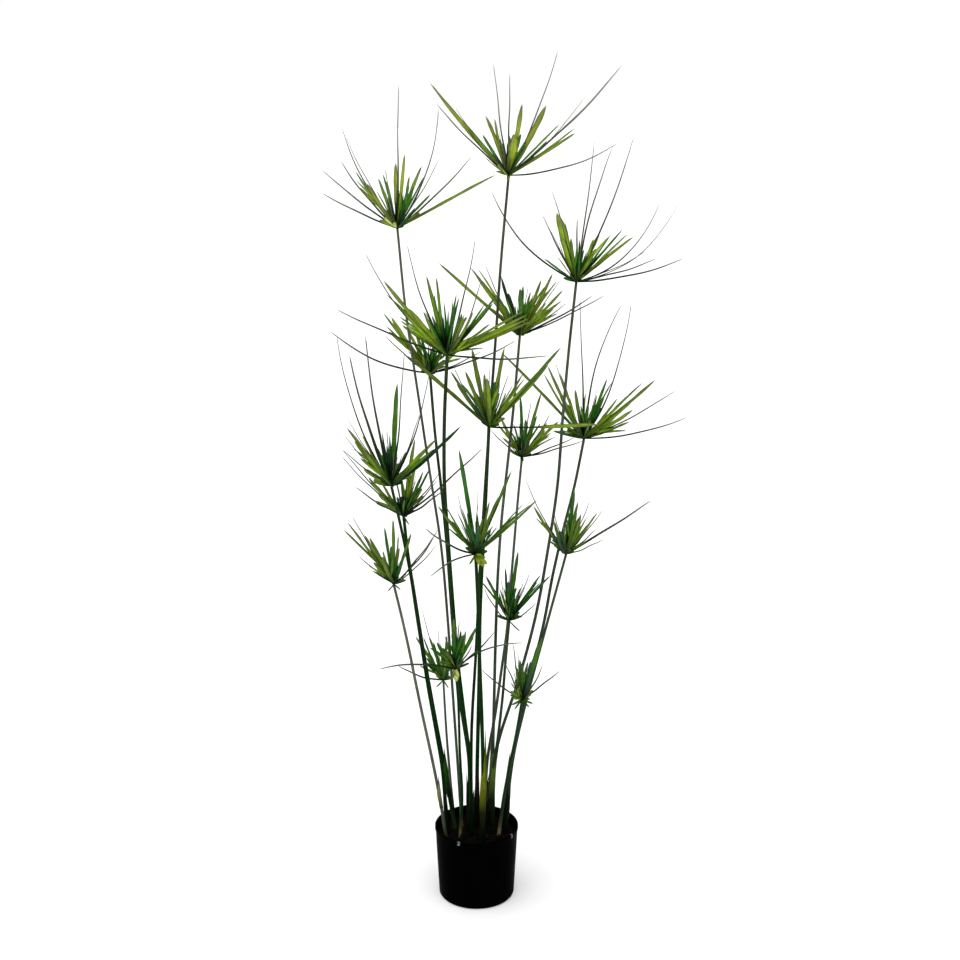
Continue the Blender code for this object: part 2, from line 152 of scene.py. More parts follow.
# Thread-like bracts. Their widths are in millimetres, as in the lists, and a long one is over 15 cm.
THREAD_STEPS = 22
THREAD_SIDES = 5
THREAD_WIDTH = 2.0
LONG_THREAD_WIDTH = 3.0
THICK_THREAD = 3.4
LONG_THREAD = 0.15
FLAT_THREAD = 0.5
THREAD_TONE = (-0.6, 0.2)
THREAD_WAVER = (0.0003, 0.001)
THREAD_WAVES = 9
THREAD_SIDE = 0.7
THREAD_FOOT_SHADE = 0.5

# Scales at a hub, which reach towards the viewer by this many millimetres and this share of their length
SCALE_REACH = 14.0
SCALE_LEAN = 0.8

# Bracts that no list names. Each has how many there are, how far it strays sideways in radians, the ranges of
# its lift in degrees, its length, in metres or as a share of the umbel's reach, its width and its tone, and
# how much painted shade darkens its foot. The tone is added to the core's, but not in the chaff.
GOLDEN_ANGLE = math.radians(137.508)
Fill = namedtuple("Fill", "count stray lift length width tone dark", defaults=(None,) * 3)
HEART = Fill(12, 0.3, (62, 88), (0.22, 0.42), (0.0019, 0.0034), (-0.5, 0.3), 1.0)
FRONT = Fill(3, math.radians(28), (12, 42), (0.6, 0.86), (0.0035, 0.0055), (0.3, 1.2), 0.9)
BACK = FRONT._replace(count=4, lift=(8, 46))
STRAND = Fill(2, math.radians(24), (24, 60), (0.55, 0.9))
STRAND_WIDTH = 0.0014
STRAND_BOW = (0, 0.05)
COLLAR = Fill(6, 0.3, (14, 42), (0.012, 0.022), (0.0035, 0.005), (0.2, 1), 0.7)
CHAFF = Fill(4, 0.4, (-8, 26), (0.005, 0.009), (0.002, 0.003), (0.6, 1.4), 0.4)

# Width along a bract, as shares of its length and of its widest
POINT = ((0, 0.4), (0.12, 0.6), (0.32, 1), (0.5, 0.92), (0.68, 0.7), (0.84, 0.45), (0.94, 0.28), (1, 0.02))
PLAIN = ((0, 0.6), (0.12, 0.78), (0.32, 0.94), (0.6, 1), (0.8, 0.94), (0.92, 0.62), (0.97, 0.34), (1, 0.04))
FORK = ((0, 0.6), (0.15, 0.85), (0.36, 1), (0.5, 0.84), (0.8, 0.74), (0.92, 0.52), (0.97, 0.3), (1, 0.04))
ARM = ((0, 0.7), (0.3, 1), (0.7, 0.85), (0.9, 0.55), (1, 0.04))
LATE = ((0, 0.2), (0.38, 0.3), (0.55, 0.9), (0.85, 1), (0.96, 0.5), (1, 0.04))
THREAD = ((0, 0.8), (0.15, 1), (0.5, 0.95), (0.8, 0.75), (1, 0.35))
WHIP = ((0, 0.5), (0.1, 0.85), (0.22, 1), (0.36, 0.8), (0.6, 0.6), (1, 0.35))

# Pot
POT_SIDES = 144
POT_MIDDLE = 0.012
FOOT_IN = 0.0056
FOOT_ROUND = 0.004
FOOT_RING = (0.012, 0.0095)
RECESS = 0.0012
FLOOR_TOP = 0.002
WALL_STEPS = (0.25, 0.5, 0.75)
WALL = 0.0022
FLOOR_CORNER = 0.0018
LIP_HEIGHT = 0.006
LIP_OUT = 0.0008
LIP_EDGE = 0.0002
LIP_GROOVE = 0.001
LIP_SLOPE = (0.0006, 0.0012)
LIP_WALL = 0.0028
LIP_STEP = 0.002
RIM_ROUND = 0.0009
RIM_FLAT = 0.0021
RIM_INNER_ROUND = 0.0006
# Two spots of painted highlight on the rim's top edge, at these azimuths in degrees, and how far each reaches
RIM_GLINTS = (245, 328)
RIM_GLINT_REACH = math.radians(2)

# Soil. Its lumps are (height, density).
SOIL_SIDES = 96
SOIL_RINGS = 26
SOIL_GAP = 0.0036
SOIL_DEPTH = 0.012
SOIL_SINK = 0.0012
SOIL_EDGE_SINK = 0.003
EDGE_POWER = 4
SOIL_LUMPS = ((0.0016, 60), (0.0009, 210))
SOIL_GRAIN = 300
SOIL_TONE = 0.3
CRUMBS = 520
CRUMB_SIZE = 0.0006
CRUMB_GROWTH = 0.0021
CRUMB_POWER = 2.5
CRUMB_MARGIN = 1.5
CRUMB_RISE = 0.2
CRUMB_TURN = 6.28
CRUMB_TILT = 1.5
CRUMB_STRETCH = ((0.7, 1.5), (0.6, 1.1), (0.45, 0.8))
CRUMB_DENT = 0.35
CRUMB_DENTS = 1.7
CRUMB_SHIFT = 99

# One umbel as seen from the front, in millimetres from its hub. Each leaf is (right, up, width, tone) and may
# name its shape, which is a forked strip if it doesn't. A tone is 3 for pale, 2 for lime, 1 for olive, 0 for
# emerald and -1 for nearly black; the low tones are partly the bracts' own colour and partly painted shade.
# Each thread is (right, up, bow in hundredths) and may have its own width. The reach and the core are the
# length and the tone of the inner bracts, and a dark core is partly painted shade in the umbel's heart.
# Each scale at the hub is (right, up, width, tone).
Umbel = namedtuple("Umbel", "leaves threads reach core scales", defaults=(0.2, ()))

UMBELS = (
    Umbel(((-101, 118, 6, .9, POINT), (-52, 62, 4, .8, PLAIN), (-30, 77, 5, .9), (-34, 54, 3, .5, PLAIN),
           (-12, 48, 3.5, .3, PLAIN), (-24, 68, 2.5, .6, PLAIN), (8, 54, 9, 1.4, PLAIN),
           (1, 52, 4, .2, PLAIN), (16, 55, 4, .5), (17, 92, 5, 1, PLAIN), (48, 90, 6, 1, PLAIN),
           (65, 66, 2.5, .7, PLAIN), (86, 62, 3.6, .9), (87, 56, 3.2, .9, PLAIN), (50, 46, 2.5, .6, PLAIN)),
          ((-93, 92, 2, 2.4), (-69, 88, 3, 1.4), (-20, 142, 3), (1, 130, -3), (62, 158, 3), (144, 140, 3, 3),
           (143, 44, 7, 2.5), (97, 100, 4, 1.2)), 130, -.2,
          ((-15, 17, 6, 1.1), (-9, 12, 5, 1.3), (0, -5, 5, 1.2))),
    Umbel(((-39, 60, 4.5, .95), (-54, 76, 3.2, .8), (-24, 66, 4.2, .7), (-18, 72, 2.5, .6, PLAIN),
           (-1, 86, 4.5, 1.3, PLAIN), (11, 98, 3.4, 1.35, PLAIN), (16, 57, 3.2, .3), (33, 82, 5, .9),
           (22, 56, 3, .6, PLAIN), (130, 71, 4, .9, PLAIN), (30, 22, 4, .9, PLAIN), (44, 46, 2.5, .5, PLAIN)),
          ((-99, 48, 2, 2.6), (-98, 78, 2, 2.6), (-73, 90, 4, 2.6), (-70, 132, 6), (-66, 122, 3, 1.4),
           (4, 183, -3), (55, 155, 8), (98, 95, 3, 2.6), (56, 92, 2, 1.6)), 120, -.5,
          ((-13, 17, 11, 3), (-20, 14, 5, 1.2), (-3, 10, 5, 2.4))),
    Umbel(((-27, 92, 10, 1.5, PLAIN), (-21, 62, 6, 1.4, PLAIN), (-8, 60, 4, .7), (-16, 80, 2.5, .6, PLAIN),
           (30, 66, 5.5, 1.4), (37, 52, 3, .5, PLAIN), (60, 71, 3, .4), (75, 61, 5, 1), (22, 58, 4.5, 1.3),
           (24, 40, 5.5, 1.3, PLAIN), (10, 45, 4, .2)),
          ((-113, 122, 10, 2.8), (-46, 90, 1, 2.3), (-34, 122, -2, 2), (45, 178, -6, 2.5), (21, 187, 2, 2.2),
           (72, 192, 4, 2.6), (108, 107, 12), (135, 110, 12, 1.4), (107, 33, 3, 2.4), (142, 33, 4, 2.8),
           (94, 44, 4, 1.4), (0, 85, -2, 3)), 120, -.2),
    Umbel(((-84, 102, 5, 1), (-50, 64, 5.5, 1.2), (-56, 58, 4.5, 1.4), (-47, 46, 6, 1.5), (-65, 66, 4, .9),
           (-38, 40, 5, 1.3), (-60, 42, 4, 1), (-27, 108, 5, .8), (-17, 84, 4, .5, POINT),
           (-10, 70, 3, .3, POINT), (-4, 74, 3, .3, POINT), (2, 62, 3, .2, POINT), (13, 84, 4, .5, POINT),
           (8, 72, 3, .3, POINT), (20, 58, 4.5, .6), (26, 54, 4, .9), (35, 60, 3.5, .8), (30, 36, 4.5, 1.1),
           (-20, 55, 3.5, .4), (112, 47, 4.2, 1, PLAIN), (109, 51, 3.4, 1.3, PLAIN), (107, 56, 4.2, 1, PLAIN),
           (102, 61, 3, .9, PLAIN), (62, 72, 3.5, .7), (70, 86, 3.6, .5, PLAIN), (58, 44, 4, .8),
           (50, 20, 4.5, 1), (35, 18, 5, 1.3)),
          ((-148, 64, 2, 2.6), (-108, 140, 6), (-52, 150, 4), (38, 158, 5), (46, 105, 9), (138, 1, 3, 2.6)),
           125, -.7),
    Umbel(((-51, 78, 6, 1.1), (-62, 84, 4, .9), (-30, 62, 4.5, 1), (-14, 70, 4, .6), (-20, 40, 5, .9),
           (-10, 45, 5.5, .3), (5, 38, 6, .5), (22, 45, 5, .8), (15, 28, 6, 1.1), (20, 20, 5, 1.2),
           (38, 34, 5, 1.2), (-25, 25, 5.5, 1.1)),
          ((-134, 60, 7, 2.8), (-60, 54, 3, 2), (116, 47, 4, 2.5), (70, 32, 3, 2)), 100, -.3),
    Umbel(((-108, 98, 3.6, .9, PLAIN), (-66, 92, 4.5, 1.1), (-60, 84, 4, 1, PLAIN), (-52, 76, 4, 1.1, PLAIN),
           (-30, 54, 5, .7), (-36, 46, 4, .9), (-20, 38, 5.5, 1.2), (-25, 80, 3.6, -.8, PLAIN),
           (-16, 58, 5, -1, PLAIN), (0, 64, 5.5, .5, PLAIN), (4, 68, 3.4, .6, PLAIN), (8, 46, 5, .5),
           (3, 38, 6, .4), (14, 60, 3.5, .6), (28, 76, 4.2, 1), (43, 84, 4.6, 1.1), (36, 60, 4, 1),
           (57, 62, 4, 1.1), (50, 52, 3.6, .9), (30, 34, 6, 1.5), (35, 45, 5.5, 1.3), (45, 38, 4, 1)),
          ((-47, 97, 3, 1.8), (53, 76, 2, 1.6), (97, 55, 3, 2.8), (114, 56, 2, 2.3), (62, 45, 2, 2)), 105,
           -.1),
    Umbel(((-110, 100, 4.6, 1, PLAIN), (-52, 79, 3.6, .8, PLAIN), (-44, 62, 3.6, .8, PLAIN), (-32, 79, 5, .9),
           (-23, 110, 5, .9, PLAIN), (-3, 70, 6, 1.2), (-6, 76, 3.4, .9, PLAIN), (-18, 50, 4, .9, PLAIN),
           (-12, 50, 4.6, 1), (8, 65, 6, .4), (4, 52, 5, .3), (21, 112, 4.6, .9, PLAIN), (14, 70, 4, .7),
           (32, 50, 3.6, 1.2), (97, 112, 4.2, .8, PLAIN), (80, 88, 3, .8, PLAIN), (46, 76, 3.2, .8),
           (55, 66, 3.2, 1.1), (40, 48, 3.6, 1), (22, 14, 6, .9, PLAIN), (150, 5, 5, 1.3, LATE)),
          ((-47, 84, 3), (26, 74, 2), (70, 2, 1, 2.6)), 115, -.2),
    Umbel(((-115, 122, 4, 1, PLAIN), (-51, 103, 5, 1.1), (-44, 86, 4, 1.2), (-34, 62, 4, .9, PLAIN),
           (-13, 70, 4.2, .9, PLAIN), (5, 50, 5, .3), (30, 85, 4.2, .6), (28, 65, 4.2, .3), (18, 52, 5, .4),
           (96, 84, 5, 1), (70, 60, 4.5, 1.1), (55, 55, 5.5, 1.4), (60, 36, 5, 1.5), (62, 25, 5, 1.2),
           (40, 28, 5, 1.5), (36, 16, 5, 1), (-30, 50, 4, .9), (-22, 38, 5, .7), (-34, 24, 5, .9),
           (-24, 14, 5, .8, PLAIN), (-42, 12, 4, .6, PLAIN), (-56, 92, 3, 1.1, PLAIN),
           (66, 42, 4, 1.2, PLAIN)),
          ((-40, 107, 3), (-9, 195, -3), (48, 186, -9), (60, 190, 8), (125, 70, 3, 2.2), (141, 32, 5, 2.6)),
           115, -.3),
    Umbel(((-28, 55, 4.6, 1), (-22, 38, 5, 1.2), (-12, 48, 4, .8), (-3, 88, 3.6, .5, PLAIN), (5, 55, 5, .5),
           (0, 40, 5, .3), (26, 92, 3.6, .9, PLAIN), (20, 60, 4, .8), (50, 52, 5, 1.2), (32, 40, 4.5, 1.3),
           (40, 36, 4, 1), (24, 30, 5, 1.1)),
          ((-43, 40, 2), (12, 80, 2), (38, 62, 2, 2.6), (72, 30, 2, 2.4), (84, 25, 2, 2.4)), 95, -.1,
          ((0, -3, 5, .3),)),
    Umbel(((-60, 84, 5, 1), (-38, 54, 5.5, 1.2), (-34, 44, 9, 1.5, PLAIN), (-26, 34, 6, 1.4, PLAIN),
           (-38, 26, 5, 1.3, PLAIN), (-24, 12, 7, 1.1, PLAIN), (-50, 66, 4, .9), (-18, 55, 7, 0, POINT),
           (-13, 46, 6, 0), (10, 146, 5.5, .6, PLAIN), (-12, 78, 3.5, -.6, POINT), (-2, 74, 4, -.5, POINT),
           (-6, 60, 4, -.3, POINT), (3, 45, 5, -.2, POINT), (62, 68, 5, 1.2), (48, 56, 4, 1.3),
           (30, 36, 5.5, 1.2), (20, 50, 3, .8, PLAIN), (70, 62, 3.2, -.6, PLAIN), (96, 87, 3.4, -.5, PLAIN),
           (58, 54, 3, .6, PLAIN), (10, 35, 5, .9), (16, 22, 6, 1.1)),
          ((-70, 212, 7), (-54, 185, 6, 5.5), (-32, 212, 5, 4.5), (20, 190, 4), (-65, 75, 2, 1.6),
           (-66, 53, 2), (-60, 100, 2, 1.4), (53, 160, 8), (40, 104, 3, 1.8)), 115, -.5),
    Umbel(((-42, 50, 5, 1), (-35, 34, 6, 1.1), (-28, 28, 6, .6), (-20, 30, 5, .4), (-48, 58, 4.5, 1.2),
           (17, 112, 4.2, 1.2, PLAIN), (18, 80, 5, 1.4), (10, 60, 5, 1.1), (26, 42, 5.5, 1.1),
           (28, 66, 3.5, .5), (26, 58, 3, .5, PLAIN), (22, 36, 5.5, .9), (-3, 30, 6, -.6), (5, 28, 6, .1),
           (37, 70, 3, .4, PLAIN)),
          ((-66, 44, 3, 2.8), (-84, 98, 2), (-84, 88, 2), (54, 38, 2, 3), (110, 100, 2, 2.8), (50, 64, 2),
           (47, 54, 2)), 95, -.3,
          ((8, -6, 2.5, .8),)),
    Umbel(((-64, 93, 4.2, 1), (-40, 74, 4.2, 1), (-33, 70, 3.5, .8, PLAIN), (-26, 50, 4.6, 1.3),
           (-28, 34, 4.6, 1.3), (-16, 42, 5, 1), (-20, 30, 4, .9), (-14, 32, 4.6, .7),
           (-12, 85, 3.2, .5, PLAIN), (-9, 60, 4.6, .4), (0, 97, 3.4, .9, PLAIN), (-3, 58, 5.5, .8),
           (2, 40, 5, .3), (25, 77, 3.2, .8, PLAIN), (14, 48, 2.5, .4, PLAIN)),
          ((-57, 103, 2, 1.8), (55, 71, 3, 2.4), (-49, 44, 2), (12, 44, 2, 1.4), (17, 52, 2, 1.4),
           (62, 82, 6, 2.2), (60, 60, 5, 1.8)), 95, .1,
          ((10, 0, 2, 0.7), (-7, -3, 2, 0.7))),
    Umbel(((-23, 153, 4.2, .35, PLAIN), (-15, 52, 4.6, .4), (-12, 62, 3, .6, PLAIN), (-40, 55, 4, .7),
           (-52, 72, 3.6, .7), (-33, 50, 3, .5, PLAIN), (-8, 45, 5.5, .3), (4, 46, 5, .2),
           (2, 60, 3, .2, PLAIN), (20, 56, 5, .7), (34, 88, 4.2, .7), (50, 123, 3.8, .8, PLAIN),
           (18, 45, 5, .9), (85, 81, 3.2, .8), (76, 74, 2.8, .6, PLAIN), (55, 58, 3.2, .1, PLAIN),
           (36, 40, 3.5, .4)),
          ((-70, 40, 4, 2.8), (-64, -32, -4, 2.4), (-25, 90, 2, 1.4), (2, 72, 2)), 110, 0,
          ((11, -10, 5.5, 2), (15, -5, 6, 1.7), (6, -8, 5, 1.9), (13, 3, 5, 1.6), (9, 6, 4, 1.7),
           (-8, -7, 3, 1.1))),
    Umbel(((-46, 72, 4, .9), (-30, 48, 4.6, 1.1), (-20, 30, 5, .8), (-9, 36, 4, -.5), (-12, 30, 4, -.2),
           (10, 98, 4, .4, PLAIN), (8, 60, 5, .5), (10, 48, 5, .7), (16, 78, 4, .6), (14, 64, 4, .8),
           (20, 60, 4, 1), (18, 50, 4, .8), (43, 62, 4.6, 1), (34, 48, 4, 1.1), (20, 25, 5.5, .9)),
          ((117, 80, 1, 3.3), (-58, 113, 3, 1.6), (-17, 62, 2, 1.8), (32, 80, 2, 1.6), (50, 66, 2, 1.8),
           (41, 38, 2, 2.2), (53, 24, 2, 1.8)), 90, .2),
    Umbel(((-33, 68, 4.2, .5), (-22, 40, 4, .4), (18, 8, 5, .8, PLAIN), (-1, 60, 5.5, .1),
           (-6, 80, 3, -.5, PLAIN), (12, 105, 4, .6, PLAIN), (8, 50, 5.5, .3), (6, 36, 5.5, .7),
           (10, 28, 5, 1.1), (12, 40, 4, 1), (44, 70, 4.2, .4), (40, 60, 3.2, .5, PLAIN),
           (58, 69, 3.6, .2, PLAIN), (20, 28, 4, .4)),
          ((-35, 50, 5), (-13, 68, 2, 1.4), (20, 60, 2, 1.8), (28, 72, 2, 1.8), (22, 52, 2, 1.6),
           (38, 28, 3)), 80, .1,
          ((15, -6, 2, .6),)),
    Umbel(((-39, 68, 4, .9), (-26, 30, 4.6, .9), (-20, 68, 3.2, .6, PLAIN), (0, 50, 4, .6), (6, 38, 4.2, .8),
           (2, 28, 6, 1), (5, 70, 3, .4, PLAIN), (-24, 36, 4, .4), (-10, 40, 4, .7), (-14, 60, 3, .5, PLAIN)),
          ((-30, 110, 2, 1.6), (-27, 62, 2, 1.6), (-64, 24, 5, 2.8), (-7, 80, 2, 1.6)), 75, .3,
          ((-10, -2, 2.5, .8), (8, -4, 2.5, .8))),
    Umbel(((-3, 62, 6, .4), (-2, 78, 5, .8, PLAIN), (0, 50, 6, .3), (8, 60, 4, 0), (5, 44, 5.5, .1),
           (30, 65, 4.6, .7), (24, 50, 4, .6), (-26, 42, 5, .6), (-14, 30, 5.5, .9), (-10, 22, 5.5, 1.1),
           (-12, 40, 4, .5)),
          ((-109, 1, -6, 2.8), (6, 76, 2), (56, 58, 3, 2.6), (98, 41, -8, 2.4), (24, 38, 2, 2.4)), 80, .2,
          ((2, -9, 8, 2.8), (5, -4, 5, 2.6), (-5, -5, 4, 1.2))),
    Umbel(((-4, 62, 5, .5), (-8, 50, 4.2, .6), (0, 55, 4.4, .8), (28, 95, 6, .6, PLAIN),
           (14, 60, 5, -.4, PLAIN), (-16, 14, 4, 1), (-10, 32, 4.5, .8), (-8, 14, 5, 1), (-4, 40, 6, .1)),
          ((-14, 88, 2), (-7, 78, 2, 1.4), (-24, 56, 2, 2.2), (-58, 47, 3, 2.2), (29, 55, 4, 2.2),
           (53, 45, 2, 2.4), (-26, 18, 2, 3.4)), 75, .5,
          ((-13, 16, 6, 1.1), (9, -3, 2.5, .8), (-11, -5, 2.5, .6), (-15, 3, 3, 1), (14, 5, 3, 1),
           (10, 10, 4, 1.2))),
)

# One stem: how grey it is, from 0 to 2, its foot's colour, from 0, nearly black, over 1, green, to 2, pale,
# how much fuller it is than its solid, and the leaf sheaths round its foot. The dark foot colours are painted
# shade inside the pot and just above its rim, and the pale ones are the stem's own colour. Each sheath is
# (low, high, thickness, azimuth of its point in degrees, colour), in millimetres. Its colour runs from 0,
# nearly black, over 1, green, and 2, olive, to 3, pale.
Stem = namedtuple("Stem", "grey foot fullness sheaths")

STEMS = (
    Stem(0.1, 0, 1.08, ((94, 172, 1.7, 200, 0), (94, 128, 2.2, 60, 0))),
    Stem(0.7, 1.7, 1.12, ((94, 122, 0.35, -60, 2.6),)),
    Stem(0.5, 0, 1.1, ((94, 166, 1.4, 30, 0.1),)),
    Stem(0, 0, 1.08, ((94, 176, 1.6, -20, 0), (94, 136, 2, 170, 0.1))),
    Stem(0.1, 0, 1.15, ((94, 182, 1.4, 180, 0.2), (94, 150, 1.9, 0, 0))),
    Stem(0.6, 0, 1.12, ((94, 176, 1.5, 10, 0), (120, 262, 2.1, 100, 1.5))),
    Stem(0, 0, 1.08, ((94, 192, 1.7, -80, 0), (94, 140, 2.2, 120, 0))),
    Stem(0.4, 0.5, 1.15, ((94, 205, 2.5, 182, 0.1),)),
    Stem(0.8, 0, 1.15, ((94, 165, 1.4, -10, 0),)),
    Stem(0, 0, 1.2, ((94, 176, 1.0, 90, 0),)),
    Stem(0, 1, 1.15, ((145, 222, 2.0, 0, 1),)),
    Stem(1.5, 1.2, 1.4, ((150, 206, 0.8, 0, 2.6),)),
    Stem(0, 0.6, 1.1, ((96, 290, 2.3, 0, 1.9),)),
    Stem(0.4, 0.5, 1.12, ((94, 200, 1.6, 170, 0.2),)),
    Stem(0.4, 0, 1.15, ((94, 176, 1.6, 0, 0), (120, 250, 2.1, 60, 1.5))),
    Stem(1.4, 0.1, 1.15, ((94, 150, 1, 90, 0.2),)),
    Stem(0, 1.7, 0.85, ((94, 118, 0.3, -60, 2.7),)),
    Stem(0.1, 1.8, 1, ((94, 112, 0.4, -90, 2.8),)),
)


def solid_corners(node):
    """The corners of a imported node's solid."""
    return [vert.co.copy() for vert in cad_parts[node].data.vertices]


def seen_from_front(place):
    """Where a place appears on the upright plane through the pot's middle."""
    return EYE + (place - EYE) * (EYE.y / (EYE.y - place.y))


def level_rings(node):
    """(centre, radius) of each level ring of a stem's solid, from the root up."""
    corners = sorted(solid_corners(node), key=lambda corner: corner.z)
    levels = [[corners[0]]]
    for before, corner in zip(corners, corners[1:]):
        if corner.z - before.z > CLEARANCE:
            levels.append([])
        levels[-1].append(corner)
    rings = []
    for level in levels:
        low = Vector((min(c.x for c in level), min(c.y for c in level), level[0].z))
        high = Vector((max(c.x for c in level), max(c.y for c in level), level[0].z))
        centre = (low + high) / 2
        rings.append((centre, max((corner - centre).length for corner in level)))
    return rings


def smooth_line(rings):
    """The smooth curve through the rings' middles, as a function of height."""
    heights = [centre.z for centre, _ in rings]
    slopes = []
    for k in range(len(rings)):
        low, high = rings[max(k - 1, 0)][0], rings[min(k + 1, len(rings) - 1)][0]
        slopes.append((high - low) / (high.z - low.z))

    def place(height):
        k = min(max(bisect_right(heights, height) - 1, 0), len(rings) - 2)
        start, end = rings[k][0], rings[k + 1][0]
        span = end.z - start.z
        t = (height - start.z) / span
        lean = (2 * t ** 3 - 3 * t ** 2 + 1) * start + (3 * t ** 2 - 2 * t ** 3) * end
        return lean + span * ((t ** 3 - 2 * t ** 2 + t) * slopes[k] + (t ** 3 - t ** 2) * slopes[k + 1])

    return place


def angles(count):
    """The angles of a ring's corners."""
    return [2 * math.pi * side / count for side in range(count)]


def aim_at(azimuth, lift):
    """The direction at an azimuth, lifted over the level."""
    level = math.cos(lift)
    return Vector((math.cos(azimuth) * level, math.sin(azimuth) * level, math.sin(lift)))


def bow_at(along):
    """A bow's height, which is 0 at both ends and 1 in the middle."""
    return 4 * along * (1 - along)


def share_at(profile, along):
    """A value of a profile of (along, value) corners."""
    for (low, start), (high, end) in zip(profile, profile[1:]):
        if along <= high:
            return start + (end - start) * (along - low) / (high - low)
    return profile[-1][1]


class Drawing:
    """A mesh in the making, with named numbers on its corners and a map of across and along."""

    def __init__(self, *names):
        self.bm = bmesh.new()
        self.layers = {name: self.bm.verts.layers.float.new(name) for name in names}
        self.map = {}

    def corner(self, place, u=0.0, v=0.0, **numbers):
        vert = self.bm.verts.new(place)
        for name, value in numbers.items():
            vert[self.layers[name]] = value
        self.map[vert] = (u, v)
        return vert

    def bridge(self, low, high):
        """Quads between two rings of the same length."""
        for k in range(len(low)):
            after = (k + 1) % len(low)
            self.bm.faces.new((low[k], low[after], high[after], high[k]))

    def fan(self, ring, tip):
        for k in range(len(ring)):
            self.bm.faces.new((ring[k], ring[(k + 1) % len(ring)], tip))

    def close(self, ring):
        """Triangles from a ring to its middle."""
        middle = self.bm.verts.new(sum((vert.co for vert in ring), Vector()) / len(ring))
        for layer in self.layers.values():
            middle[layer] = ring[0][layer]
        self.map[middle] = self.map[ring[0]]
        self.fan(ring, middle)

    def grow(self, ring, grown):
        """Joins a ring to the one before it, or closes it if it is the first."""
        if ring is None:
            self.close(grown)
        else:
            self.bridge(ring, grown)
        return grown

    def piece(self, name, material, slot, *nodes, sharp=60):
        """Makes the piece that stands for the nodes."""
        bmesh.ops.recalc_face_normals(self.bm, faces=self.bm.faces)
        layer = self.bm.loops.layers.uv.new("UVMap")
        for face in self.bm.faces:
            for loop in face.loops:
                loop[layer].uv = self.map[loop.vert]
        mesh = bpy.data.meshes.new(name)
        self.bm.to_mesh(mesh)
        self.bm.free()
        mesh.shade_smooth()
        mesh.set_sharp_from_angle(angle=math.radians(sharp))
        mesh.materials.append(material)
        piece = bpy.data.objects.new(name, mesh)
        bpy.context.scene.collection.objects.link(piece)
        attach(piece, BODY)
        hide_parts(*nodes)
        return piece


# Bracts

def sag_of(chord):
    """The direction in which a bract hangs under its own chord, or sideways if it is upright."""
    along = chord.normalized()
    sag = along * along.dot(UP) - UP
    return sag.normalized() if sag.length > UPRIGHT else RIGHT.copy()


def width_of(chord, sight):
    """The direction of a bract's width: partly level, partly turned across a line of sight."""
    level = chord.cross(UP).normalized()
    facing = chord.cross(sight).normalized()
    if level.dot(facing) < 0:
        facing.negate()
    return (level + FACING * facing).normalized()


def blade_section(centre, across, up, half, skin):
    """Eight corners of a folded blade, thin at both edges, with how far each is to the side."""
    for side, top in ((-1, 1), (-.5, 1), (0, 1), (.5, 1), (1, 1), (.5, 0), (0, 0), (-.5, 0)):
        lift = BLADE_FOLD * half * abs(side) ** FOLD_POWER
        lift += skin * (1 - side * side) * (0.5 if top else -0.5)
        yield centre + across * half * side + up * lift, side


def blade(art, chance, foot, tip, width, tone, dark, profile=PLAIN, arch=BLADE_ARCH, start=ROOT_START,
          sight=None):
    """One leaf-like bract, turned across the viewer's line of sight or across another one."""
    chord = tip - foot
    length = chord.length
    across = width_of(chord, sight or foot - EYE)
    up = across.cross(chord).normalized()
    if up.z < 0:
        up.negate()
    root = foot + chord.normalized() * start
    sag = sag_of(chord) * length * arch
    sway = across * length * chance.uniform(-BLADE_SWAY, BLADE_SWAY)
    twist = chance.uniform(-BLADE_TWIST, BLADE_TWIST)
    wave = chance.uniform(0, 2 * math.pi)
    origin = chance.uniform(0, MAP_SPREAD)
    tone += chance.uniform(-TONE_SPREAD, TONE_SPREAD)
    ring = None
    for step in range(BLADE_STEPS):
        along = (step / BLADE_STEPS) ** STEP_POWER
        centre = root.lerp(tip, along) + (sag + sway) * bow_at(along)
        turn = Matrix.Rotation(twist * along, 3, chord)
        half = width / 2 * share_at(profile, along) * (1 + EDGE_WAVE * math.sin(wave + EDGE_WAVES * along))
        grown = []
        for place, side in blade_section(centre, turn @ across, turn @ up, half, width * BLADE_SKIN):
            grown.append(art.corner(place, origin + side * half, along * length, along=along, tone=tone,
                                    side=side, dark=dark, grey=0))
        ring = art.grow(ring, grown)
    art.fan(ring, art.corner(tip, origin, length, along=1, tone=tone, side=0, dark=dark, grey=0))


def thread(art, chance, foot, tip, width, bow, profile=THREAD, flat=1.0):
    """One thread-like bract, which sags or arches and wavers a little."""
    tone = chance.uniform(*THREAD_TONE)
    chord = tip - foot
    length = chord.length
    across = width_of(chord, foot - EYE)
    up = across.cross(chord).normalized()
    root = foot + chord.normalized() * ROOT_START
    sag = sag_of(chord) * length * bow
    phase = chance.uniform(0, 2 * math.pi)
    waver = chance.uniform(*THREAD_WAVER)
    origin = chance.uniform(0, MAP_SPREAD)
    ring = None
    for step in range(THREAD_STEPS):
        along = step / THREAD_STEPS
        sway = across * waver * math.sin(phase + THREAD_WAVES * along) * math.sin(math.pi * along)
        centre = root.lerp(tip, along) + sag * bow_at(along) + sway
        half = width / 2 * share_at(profile, along)
        grown = []
        for angle in angles(THREAD_SIDES):
            side = math.cos(angle)
            place = centre + across * side * half + up * math.sin(angle) * half * flat
            grown.append(art.corner(place, origin + side * half, along * length, along=along, tone=tone,
                                    side=side * THREAD_SIDE, dark=THREAD_FOOT_SHADE, grey=1))
        ring = art.grow(ring, grown)
    art.fan(ring, art.corner(tip, origin, length, along=1, tone=tone, side=0, dark=THREAD_FOOT_SHADE, grey=1))


def hub(art, head, radius):
    """The knob where the bracts meet."""
    neck = [(share * radius, height) for share, height in HUB_NECK]
    ring = None
    for reach, height in (*neck, *HUB_KNOB):
        grown = []
        for angle in angles(STEM_SIDES):
            place = head + Vector((reach * math.cos(angle), reach * math.sin(angle), height))
            grown.append(art.corner(place, 0, height, **HUB_LOOK))
        ring = art.grow(ring, grown)
    art.close(ring)


